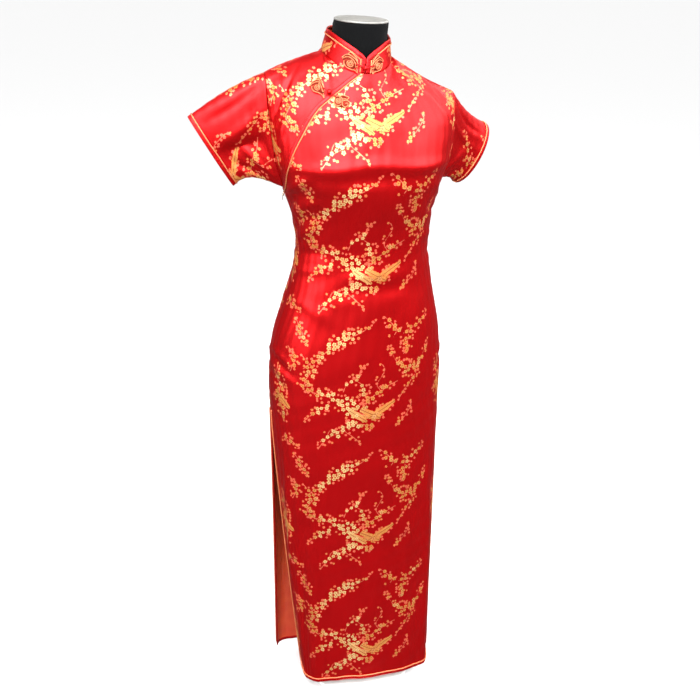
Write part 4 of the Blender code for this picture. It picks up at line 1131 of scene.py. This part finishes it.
def body_heights(low, count):
    """Heights up to the shoulder seam, closer together near it."""
    top = TOP_U - SEAM_OPEN
    rows = list(np.linspace(low, top - 0.006, count))
    return np.array(rows + [top - 0.004, top - 0.0022, top - 0.001, top])


def make_panel(name, face, rows, s, lift=lambda s, u: 0.0):
    """A front or back with its hem trimmed; gives the piece, its points and their normals."""
    u = rows[:, None].repeat(s.shape[1], axis=1)
    u = u + corner_rise(face, s) * slit_share(u)
    points, out = cloth_point(face, s, u, lift(s, u))
    panel = add_cloth(name + "_cloth", points, out, MAPS[face](s, u), name, name + "_panel")
    # down the right slit, along the hem and up the left slit
    top = nearest(rows, SLIT_TOP_Z)
    edge, normal = (
        np.concatenate([grid[top:0:-1, 0], grid[0], grid[1:top + 1, -1]]) for grid in (points, out)
    )
    trim_edge(name + "_hem", edge, normal, 0.0016, -face)
    return panel, points, out


def warp_columns(base, low, high, fixed, at):
    """base runs from 0 to 1, and its column at fixed is kept at one place."""
    share = base[nearest(base, fixed)]
    below = low + (at - low) * base / share
    return np.where(base <= share, below, at + (high - at) * (base - share) / (1 - share))


def make_front():
    rows = body_heights(HEM_Z, PANEL_ROWS)
    base = spaced(0.0, 1.0, FRONT_COLUMNS)
    starts = [max(lapel_s(max(u, ARMPIT_Z)), -CUT_S) for u in rows]
    s = np.array([warp_columns(base, start, CUT_S, NECK_CORNER, NECK_S) for start in starts])
    panel, points, out = make_panel("front", FRONT, rows, s, lapel_lift)
    # the lapel's trim is stiffer than the cloth, so it runs along an eased line
    low = nearest(rows, ARMPIT_Z)
    both = np.concatenate([points[low:, 0], out[low:, 0]], axis=1)[::-1]
    length = travel(both[:, :3])
    at = np.linspace(0, length[-1], LAPEL_STATIONS)
    near = np.exp(-((at[:, None] - length[None, :]) / LAPEL_EASE) ** 2)
    near = near * np.minimum(1.0, np.gradient(length) / 0.003)[None, :]
    eased = near @ both / near.sum(axis=1, keepdims=True)
    exact = np.stack([np.interp(at, length, both[:, k]) for k in range(6)], axis=-1)
    from_end = np.minimum(at, length[-1] - at)[:, None]
    both = exact + (eased - exact) * ease(from_end / 0.012)
    lift = lapel_lift(*LAPEL_LEAD) + LAYER_GAP + PIPING_SEAT
    lead = surface(FRONT, *LAPEL_LEAD) + outward(FRONT, *LAPEL_LEAD) * lift
    edge, normal = both[:, :3], unit(both[:, 3:])
    add_trim("lapel", edge, edge_frame(edge, normal), normal, lead=lead)
    return panel


def make_back():
    rows = body_heights(HEM_Z, PANEL_ROWS)
    base = spaced(-CUT_S, CUT_S, BACK_COLUMNS)
    s = np.repeat(base[None, :], len(rows), axis=0)
    for side in (RIGHT, LEFT):
        at = base[nearest(base, side * NECK_S)]
        s = s + np.exp(-((base - at) / 0.05) ** 2)[None, :] * (side * NECK_S - at)
    return make_panel("back", BACK, rows, s)[0]


def make_yoke():
    rows = body_heights(ARMPIT_Z, 64)
    base = spaced(0.0, 1.0, 60, fine_high=False)
    s = []
    for u in rows:
        under = UNDERLAP_FOOT + (UNDERLAP - UNDERLAP_FOOT) * float(ease((u - ARMPIT_Z) / 0.05))
        high = float(lapel_s(u)) + under
        row = -CUT_S + (high + CUT_S) * base
        if high > -NECK_S:
            k = nearest(row, -NECK_S)
            near = np.exp(-((base - base[k]) / 0.06) ** 2) * float(ease((u - 1.3) / 0.05))
            row = row + near * (-NECK_S - row[k])
        s.append(row)
    s = np.array(s)
    u = rows[:, None].repeat(s.shape[1], axis=1)
    points, out = cloth_point(FRONT, s, u)
    covered = ease((s - lapel_s(u) + 0.02) / 0.03)
    points = points - out * (np.maximum(crease(FRONT, s, u), 0.0) * covered)[..., None]
    uv = MAPS[FRONT](s, u) + np.array([0.027, 0.06])
    return add_cloth("yoke_cloth", points, out, uv, "front", "right_yoke")


# ---- sleeves ----

def arm_ring(side, count):
    """Points round the armhole from the armpit up the front and down the back."""
    rows = ARMPIT_Z + (TOP_U - ARMPIT_Z) * 0.5 * (1 - np.cos(np.linspace(0, math.pi, count)))
    ahead, behind = (surface(face, np.full(count, float(side)), rows) for face in (FRONT, BACK))
    return np.concatenate([ahead, behind[-2:0:-1]]), count - 1


def ring_outward(rings):
    round_way = np.roll(rings, -1, axis=1) - np.roll(rings, 1, axis=1)
    out = unit(np.cross(round_way, np.gradient(rings, axis=0)))
    return out * np.sign((out * (rings - rings.mean(axis=1, keepdims=True))).sum())


def sleeve_surface(side, middle, up, front, long_half, short_half, top_puff, under_puff):
    arm, half = arm_ring(side, 61)
    up, front = unit(np.array(up)), np.array(front)
    front = unit(front - up * front.dot(up))
    length = travel(np.concatenate([arm, arm[:1]]))
    share = (length[:-1] - length[half]) / (length[-1] - length[half])
    turn = np.where(length[:-1] <= length[half], length[:-1] / length[half], 1 + share) * math.pi
    outer = -np.cos(turn)[:, None] * up * long_half + np.sin(turn)[:, None] * front * short_half
    ring = middle + outer
    swell = under_puff + (top_puff - under_puff) * 0.5 * (1 + unit(outer)[:, 2:])
    shares = np.concatenate([[0.0, 0.012, 0.028, 0.05], np.linspace(0.08, 1.0, 34)])
    rings = np.array([
        arm * (1 - r) + ring * r + unit(outer) * swell * math.sin(math.pi * r) for r in shares
    ])
    rings[0] = rings[0] + unit(rings[1] - rings[0]) * SEAM_OPEN
    out = ring_outward(rings)
    turns, share = np.meshgrid(turn, shares)
    rise = crease_sum(SLEEVE_CREASES[side], turns, share, (SLEEVE_ROUND, SLEEVE_LONG))
    ripple = 0.0005 * np.sin(5.0 * turns + 17.0 * share) * np.sin(23.0 * share - 3.0 * turns + side)
    rise = (1.7 * rise + ripple) * ease(share / 0.1) * ease((1 - share) / 0.12)
    rings = rings + out * (rise + rolled_edge(share * SLEEVE_LONG))[..., None]
    round_way = travel(rings[20])[None].repeat(len(shares), axis=0)
    return rings, ring_outward(rings), np.stack([round_way, -travel(rings)], axis=-1)


def make_sleeve(side, name, cuff):
    rings, out, uv = sleeve_surface(side, *SLEEVES[side])
    sleeve = add_cloth(name + "_cloth", rings, out, uv, name, name, closed=True)
    add_trim(cuff, rings[-1], unit(rings[-2] - rings[-1]), out[-1], closed=True)
    return sleeve


# ---- collar ----

def make_collar():
    part = np.linspace(0, 1, 200)
    part = part - 0.7 * np.sin(2 * math.pi * part) / (2 * math.pi)
    turn = COLLAR_OPENING + (2 * math.pi - 2 * COLLAR_OPENING) * part
    share = np.concatenate([[-0.012, 0.015, 0.04, 0.07], np.linspace(0.12, 1.0, 17)])
    turns, shares = np.meshgrid(turn, share)
    points, out = collar_point(turns, shares), collar_outward(turns, shares)
    waver = 0.0007 * np.sin(3.0 * turns + 2.0) * np.sin(math.pi * shares)
    waver = waver + 0.0005 * np.sin(7.0 * turns) * shares
    points = points + out * (waver + rolled_edge(shares * COLLAR_TALL) * 0.6)[..., None]
    round_way = travel(points[8])[None].repeat(len(share), axis=0)
    uv = np.stack([round_way, shares * COLLAR_TALL], axis=-1)
    collar = add_cloth("collar_cloth", points, out, uv, "collar", "collar", COLLAR_WALL)
    edge, normal = (
        np.concatenate([grid[3:-1, -1], grid[-1, ::-1], grid[-2:2:-1, 0]]) for grid in (points, out)
    )
    trim_edge("collar", edge, normal, 0.001)
    return collar


# ---- frogs ----

def chest_frame(s0, u0, lift):
    """Maps flat (a, b, h) near a point of the front onto its curved face."""
    here = surface(FRONT, s0, u0)
    per_s = (surface(FRONT, s0 + 0.01, u0) - here) / 0.01
    per_u = (surface(FRONT, s0, u0 + 0.005) - here) / 0.005
    skew = per_s.dot(per_u)
    scale = np.linalg.inv(np.array([[per_s.dot(per_s), skew], [skew, per_u.dot(per_u)]]))
    right = unit(per_s)
    up = unit(per_u - right * per_u.dot(right))

    def mapped(a, b, h):
        moved = a[:, None] * right + b[:, None] * up
        steps = np.stack([moved.dot(per_s), moved.dot(per_u)], axis=-1) @ scale
        s, u = s0 + steps[:, 0], u0 + steps[:, 1]
        return surface(FRONT, s, u) + outward(FRONT, s, u) * (lift + h)[:, None]

    return mapped


def collar_frame(turn0, share0, lift):
    here = collar_point(turn0, share0)
    per_turn = np.linalg.norm(collar_point(turn0 + 0.01, share0) - here) / 0.01
    per_share = np.linalg.norm(collar_point(turn0, share0 + 0.01) - here) / 0.01

    def mapped(a, b, h):
        turn, share = turn0 + a / per_turn, share0 + b / per_share
        return collar_point(turn, share) + collar_outward(turn, share) * (lift + h)[:, None]

    return mapped


# Frogs in mm about their middle: the coil's middle and radius, then each fold of cord
ROSE = (
    (-0.5, -2.8, 5.6),
    ((-12.5, -1.0), (-8.0, 3.2), (-2.0, 5.8), (4.4, 4.4), (8.0, 0.2), (9.6, -5.2)),
    ((-13.6, -0.2), (-8.6, 6.2), (-3.2, 9.2), (2.6, 8.8), (8.4, 6.6), (11.6, 1.6), (11.2, -4.2)),
    ((-5.0, 9.2), (-2.0, 13.2), (3.4, 12.8), (8.2, 9.6), (11.0, 5.6)),
    ((-9.8, -2.2), (-8.2, -7.2), (-3.0, -10.2), (3.0, -10.6), (8.0, -10.0), (12.2, -12.4),
     (10.6, -6.2)),
)
SCROLL = (
    (-6.4, -1.6, 5.0),
    ((-12.8, 2.0), (-9.2, 5.2), (-4.2, 5.8), (-0.4, 2.8), (0.6, -2.4), (3.6, -7.8), (7.6, -8.8),
     (11.0, -5.2), (9.4, -1.2), (6.4, -2.6)),
    ((-5.4, 7.0), (-1.2, 10.0), (4.6, 10.6), (10.0, 9.0), (8.4, 5.6), (3.4, 5.2), (0.6, 3.6)),
    ((1.6, 0.4), (4.2, 2.8), (8.2, 3.2), (12.2, 1.0), (13.4, -3.6), (11.4, -8.6)),
    ((-12.6, -1.4), (-11.6, -7.0), (-6.8, -9.2), (-2.0, -8.2), (0.6, -4.6)),
)


def fold_path(points):
    """Smooth path through a fold's points."""
    points = np.asarray(points, float)
    at = travel(points)
    along = np.linspace(0, at[-1], max(int(at[-1] / 0.45), 8))
    return np.stack([smooth(along, at, points[:, k]) for k in (0, 1)], axis=-1)


def flower(name, shape, mapped, wide, tall, turn, mirror=1):
    """A frog of folded satin strip with gold cord on its edges: a coil and folds round it.
    Its strip, a line inside each gold fold and its base are satin darkened as painted shade,
    which stands for the shadow between the folds. wide and tall are half its size in metres."""
    grow_x, grow_y = mirror * wide / 14.0, tall / 13.0
    ca, sa = math.cos(turn), math.sin(turn)
    parts = []

    def laid(x, y, h):
        x, y = x * grow_x, y * grow_y
        return mapped(x * ca - y * sa, x * sa + y * ca, h)

    def strand(part, x, y, h, radius, finish):
        parts.append(tube("%s_rose_%s" % (name, part), laid(x, y, h), radius, finish))

    (x0, y0, radius), *folds = shape
    t = np.linspace(0, 1, 90)
    angle = 0.8 + 2.1 * 2 * math.pi * t
    # the gold coil, and beside it a coil of satin strip that is dark as painted shade
    for part, past, level, cord_r, finish in (
        ("coil", 0.0, 0.0029, 0.00078, GOLD_CORD),
        ("strip", 1.5, 0.002, 0.00085, FROG_SATIN_PAINTED_SHADE),
    ):
        away = radius * (0.1 + 0.9 * t) + past
        x, y = x0 + away * np.cos(angle), y0 + away * np.sin(angle)
        strand(part, x, y, level - 0.0006 * t, cord_r, finish)
    for k, points in enumerate(folds):
        path = fold_path(points)
        share = np.linspace(0, 1, len(path))
        level = 0.0015 + 0.0009 * np.sin(math.pi * share) - 0.0001 * k
        strand("gold_%d" % k, *path.T, level + 0.0003, 0.00074, GOLD_CORD)
        # just inside each gold fold, a line of dark satin: painted shadow of the cord
        from_coil = path - np.array([x0, y0])
        away = np.maximum(np.linalg.norm(from_coil, axis=1), 3.0)[:, None]
        inner = path - 1.45 * from_coil / away
        strand("fold_%d" % k, *inner.T, level - 0.0004, 0.0009, FROG_SATIN_PAINTED_SHADE)
    # a dark satin base that shows between the folds: painted shade behind them
    turns = full_circle(60)
    rings = []
    for share, level in (
        (1.0, -0.0007), (1.0, 0.0002), (0.86, 0.001), (0.5, 0.0012), (0.04, 0.0013),
    ):
        out = share * (11.2 + 1.2 * np.cos(2 * turns) + 0.7 * np.cos(5 * turns + 0.8))
        rings.append(laid(out * np.cos(turns), 0.92 * out * np.sin(turns), np.full(60, level)))
    parts.append(loft_rings(name + "_base", rings, np.array(rings)[..., ::2], FROG_SATIN_PAINTED_SHADE))
    place(join(name + "_rose", parts), "gold_cord", name)


def ball_knot(name, points, normals, lifts, node):
    """A ball button knot: cord wound in crossing rings, with its two tails to the flowers.
    lifts has the height of the tails' start, middle and end."""
    share = np.linspace(0, 1, len(points))
    first, middle, last = lifts
    arch = (middle - 0.5 * (first + last)) * np.sin(math.pi * share)
    points = points + normals * (first + (last - first) * share + arch)[:, None]
    parts = [tube(name + "_tail", points, KNOT_CORD_R, BINDING, sides=9)]
    k = len(points) // 2
    out = unit(normals[k])
    along = unit(points[k + 1] - points[k - 1])
    basis = np.stack([along, np.cross(out, along), out], axis=0)
    turns = full_circle(36)
    for ring in range(5):
        lean, way = 0.9 + 0.25 * (ring % 2), 1.257 * ring
        axis = [math.cos(way) * math.sin(lean), math.sin(way) * math.sin(lean), math.cos(lean)]
        axis = np.array(axis)
        first = unit(np.cross(axis, [0.3, 0.5, 0.81]))
        second = np.cross(axis, first)
        loop = np.cos(turns)[:, None] * first + np.sin(turns)[:, None] * second
        loop = points[k] + (loop * BALL_R * 0.8 + axis * BALL_R * 0.3) @ basis
        parts.append(tube("%s_loop_%d" % (name, ring), loop, BALL_R * 0.34, BINDING, closed=True))
    place(join(name, parts), "binding", node)


def make_frogs():
    for (name, turn, wide, tall), spin, mirror in zip(COLLAR_FROGS, (0.0, 0.1), (1, -1)):
        mapped = collar_frame(turn, COLLAR_FROG_SHARE, COLLAR_FLOWER_LIFT)
        flower(name, ROSE, mapped, wide * 1.18, tall * 1.24, spin, mirror)
    for (name, s, u, wide, tall), shape, spin in zip(CHEST_FROGS, (ROSE, SCROLL), (-0.25, 0.12)):
        raised = OVERLAP_LIFT if s > lapel_s(u) else 0.0
        mapped = chest_frame(s, u, raised + CHEST_FLOWER_LIFT)
        flower(name, shape, mapped, wide * 1.2, tall * 1.22, spin)
    share = np.linspace(0, 1, 61)
    low, high = (row[1] * COLLAR_KNOT_REACH for row in COLLAR_FROGS)
    at = low + (high - low) * share, COLLAR_FROG_SHARE
    ball_knot("collar_button", collar_point(*at), collar_outward(*at), COLLAR_KNOT_LIFTS,
              "knot_collar")
    right, left = (np.array(row[1:3]) for row in CHEST_FROGS)
    inset = (left - right) * CHEST_KNOT_INSET
    at = (right + inset)[:, None] + (left - right - 2 * inset)[:, None] * share
    ball_knot("chest_button", surface(FRONT, *at), outward(FRONT, *at), CHEST_KNOT_LIFTS,
              "knot_chest")


# ---- dress form, stand and zip ----

def neck_ring(turn, radius, x, y, z):
    return np.stack([x + radius * np.sin(turn), y - radius * np.cos(turn), z], axis=-1)


def neck_top_ring(turn, inset, height):
    """A ring at the top of the neck, which leans a little."""
    x, y = NECK_R * np.sin(turn), -NECK_R * np.cos(turn)
    z = NECK_TOP_Z + height - NECK_TOP_ROLL * x + NECK_TOP_TILT * y
    return neck_ring(turn, NECK_R - inset, *NECK_TOP_CENTRE, z)


def make_form():
    """The jersey torso with its neck, and the disc on it; gives the height of its foot."""
    across = np.linspace(-0.97, 0.97, 49)
    turn = np.concatenate([0.5 * math.pi * across, math.pi - 0.5 * math.pi * across[::-1]])
    rings = []
    for u in np.linspace(0.7, 1.343, 60):
        inset = FORM_INSET + FORM_SLACK * ease((ARMPIT_Z - 0.02 - u) / 0.1)
        inset = inset + FORM_SHOULDER * ease((u - CHEST_Z) / 0.06)
        rings.append(np.concatenate([
            surface(face, s, u) - outward(face, s, u) * inset
            for face, s in ((FRONT, across), (BACK, across[::-1]))
        ]))
    shrink = [(0.8, 0.02), (0.9, 0.018), (0.97, 0.012), (0.995, 0.004)]
    feet = [rings[0] * np.array([k, k, 1.0]) - np.array([0.0, 0.0, drop]) for k, drop in shrink]
    base_z = neckline(turn)[:, 2]
    necks = []
    for above in np.linspace(-0.012, 0.042, 16):
        x, y = (float(np.interp(above, NECK_CENTRES[:, 0], NECK_CENTRES[:, k])) for k in (1, 2))
        radius = NECK_R + (NECK_ROOT_R - NECK_R) * float(ease(-above / 0.012))
        necks.append(neck_ring(turn, radius, x, y, base_z + above))
    last, rim = necks[-1], neck_top_ring(turn, 0.0, -CAP_GAP - 0.0012)
    necks += [last * (1 - k) + rim * k for k in np.linspace(0.1, 1.0, 10)]
    necks += [neck_top_ring(turn, 0.0004, -CAP_GAP - 0.0003), neck_top_ring(turn, 0.0014, -CAP_GAP)]
    place(loft_rings("form_jersey", feet + rings + necks, None, JERSEY), "jersey", "form_torso")
    disc = (
        (0.001, 0.0), (0.0002, 0.0005), (0.0, 0.0014), (0.0004, 0.0026), (0.0016, 0.0036),
        (0.0034, CAP_T), (0.03, CAP_T + 0.0004),
    )
    discs = [neck_top_ring(full_circle(96), inset, height) for inset, height in disc]
    place(loft_rings("neck_disc", discs, None, CAP), "cap", "neck_cap")
    return float(feet[0][0, 2])


def make_stand(pole_top):
    boss_z = BASE_T + BOSS_H
    profile = (
        (0.0005, pole_top - 0.0003), (POLE_R - 0.001, pole_top - 0.0003),
        (POLE_R, pole_top - 0.0013), (POLE_R, boss_z + 0.0015), (POLE_R + 0.0008, boss_z + 0.0004),
        (POLE_R + 0.0016, boss_z), (BOSS_R - 0.003, boss_z), (BOSS_R - 0.001, boss_z - 0.0008),
        (BOSS_R, boss_z - 0.003), (BOSS_R + 0.0005, BASE_T + 0.003),
        (BOSS_R + 0.002, BASE_T + 0.0008), (BOSS_R + 0.006, BASE_T), (BASE_R - 0.004, BASE_T),
        (BASE_R - 0.0015, BASE_T - 0.0006), (BASE_R - 0.0003, BASE_T - 0.002),
        (BASE_R, BASE_T - 0.0035), (BASE_R, 0.0015), (BASE_R - 0.0006, 0.0004),
        (BASE_R - 0.0015, 0.0), (0.0005, 0.0),
    )
    turns = full_circle(128)
    ring = np.stack([np.cos(turns), np.sin(turns), np.ones(128)], axis=-1)
    rings = [ring * np.array([r, r, z]) for r, z in profile]
    place(loft_rings("stand_turned", rings, None, PAINT), "white_paint", "stand")


def finish_zip():
    for name in ("zip_slider", "zip_bail", "zip_tab"):
        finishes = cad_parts[name].data.materials
        finishes.clear()
        finishes.append(METAL)


# ---- scene ----

FLOOR_R, FLOOR_SIDES, WORLD_LIGHT = 40, 64, 0.22
SUN_POWER, SUN_ANGLE, SUN_TILT = 4.5, math.radians(100), (math.radians(24), math.radians(-14), 0)

# Camera: the photographer's eye 2 m in front and a little above the collar
VIEW_AZIMUTH, VIEW_PITCH = math.radians(-13.0), math.radians(21.7)
EYE_AWAY, EYE_HEIGHT = 2.0, 1.57
FOCAL_PX, AXIS_PX, FRAME_PX, SENSOR_MM = 1066.0, 360.0, 700.0, 36.0

# Rectangular lights: place, what they look at, width, height, watts, and if they only add gloss
LIGHTS = {
    "Key": ((-0.4, -1.7, 3.0), (0.0, 0.0, 1.25), 2.6, 1.8, 122, False),
    "Gloss": ((-0.3, -1.6, 2.9), (0.0, 0.0, 1.25), 1.6, 1.6, 215, True),
    "Gloss right": ((-1.6, -1.2, 2.8), (-0.1, 0.0, 1.3), 1.2, 1.2, 130, True),
    "Gloss left": ((1.7, -1.1, 2.5), (0.2, 0.0, 1.25), 1.2, 1.2, 60, True),
    "Gloss low": ((-2.1, -1.1, 1.2), (0.0, 0.0, 0.98), 1.0, 1.0, 55, True),
    "Front": ((-0.6, -2.3, 1.7), (0.0, 0.0, 0.9), 1.2, 1.2, 55, False),
    "Fill left": ((2.0, -0.9, 2.3), (0.2, 0.0, 1.2), 2.4, 2.0, 130, False),
    "Side": ((-2.4, -0.6, 1.8), (0.0, 0.0, 1.0), 1.4, 1.3, 26, False),
    "Back right": ((1.8, 1.0, 2.5), (0.0, 0.0, 1.2), 1.6, 1.6, 48, False),
    "Rim": ((-0.9, 2.6, 2.4), (0.0, 0.0, 1.0), 1.6, 1.6, 20, False),
}


def aim(obj, eye, right, back):
    """Puts a camera or a light at the eye, level to its right, looking away from back."""
    axes = np.stack([right, np.cross(back, right), back, eye], axis=-1)
    obj.matrix_world = Matrix(axes.tolist() + [[0, 0, 0, 1]])


def make_camera():
    right = np.array([math.cos(VIEW_AZIMUTH), math.sin(VIEW_AZIMUTH), 0.0])
    away = np.array([math.sin(VIEW_AZIMUTH), -math.cos(VIEW_AZIMUTH), 0.0])
    back = away * math.cos(VIEW_PITCH) + np.array([0.0, 0.0, math.sin(VIEW_PITCH)])
    sideways = (AXIS_PX - FRAME_PX / 2) / FOCAL_PX * EYE_AWAY
    data = bpy.data.cameras.new("Camera")
    data.sensor_width = SENSOR_MM
    data.lens = FOCAL_PX / FRAME_PX * SENSOR_MM
    data.dof.use_dof = False
    camera = add_object("Camera", data)
    eye = away * EYE_AWAY + np.array([0.0, 0.0, EYE_HEIGHT]) - right * sideways
    aim(camera, eye, right, back)
    bpy.context.scene.camera = camera


def make_lights():
    sun = bpy.data.lights.new("Overhead", "SUN")
    sun.energy, sun.angle = SUN_POWER, SUN_ANGLE
    add_object("Overhead", sun).rotation_euler = SUN_TILT
    for name, (where, target, width, height, power, gloss_only) in LIGHTS.items():
        data = bpy.data.lights.new(name, "AREA")
        data.shape = "RECTANGLE"
        data.size, data.size_y, data.energy = width, height, power
        lamp = add_object(name, data)
        lamp.visible_diffuse = not gloss_only
        back = unit(np.array(where) - np.array(target))
        aim(lamp, where, unit(np.cross([0.0, 0.0, 1.0], back)), back)


def make_room():
    pale = Finish("Pale floor", (0.65, 0.65, 0.65), 0.9, specular=0.1).made
    rim = [(FLOOR_R * math.cos(t), FLOOR_R * math.sin(t), 0.0) for t in full_circle(FLOOR_SIDES)]
    floor = new_mesh("floor", rim, [range(FLOOR_SIDES)], None, [pale], smooth=False)
    floor.visible_glossy = False    # the satin's shine doesn't show the floor
    world = bpy.data.worlds.new("World")
    bpy.context.scene.world = world
    world.use_nodes = True
    background = world.node_tree.nodes["Background"]
    background.inputs[0].default_value = (1.0, 1.0, 1.0, 1.0)
    background.inputs[1].default_value = WORLD_LIGHT


make_camera()
front = make_front()
back = make_back()
yoke = make_yoke()
sleeve_right = make_sleeve(RIGHT, "sleeve_right", "cuff_right")
sleeve_left = make_sleeve(LEFT, "sleeve_left", "cuff_left")
collar = make_collar()
make_frogs()
make_stand(make_form())

SHEETS = (
    (front, (0.5, 1.4), ["form_jersey"], TRIMS["front_hem"] + TRIMS["lapel"], 0.56),
    (back, (0.5, 1.4), ["form_jersey"], TRIMS["back_hem"], 0.58),
    (yoke, (0.26, 0.22), ["form_jersey"], [], 0.03),
    (sleeve_right, (0.4, 0.15), [front, back], TRIMS["cuff_right"], 0.043),
    (sleeve_left, (0.4, 0.15), [front, back], TRIMS["cuff_left"], 0.043),
    (collar, (0.4, 0.05), [front, back], TRIMS["collar"], 0.0165),
)
for cloth, flat, under, sewn_on, area in SHEETS:
    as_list(under)
    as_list(sewn_on)
finish_zip()
make_room()
make_lights()
bpy.context.scene.view_settings.view_transform = "Standard"
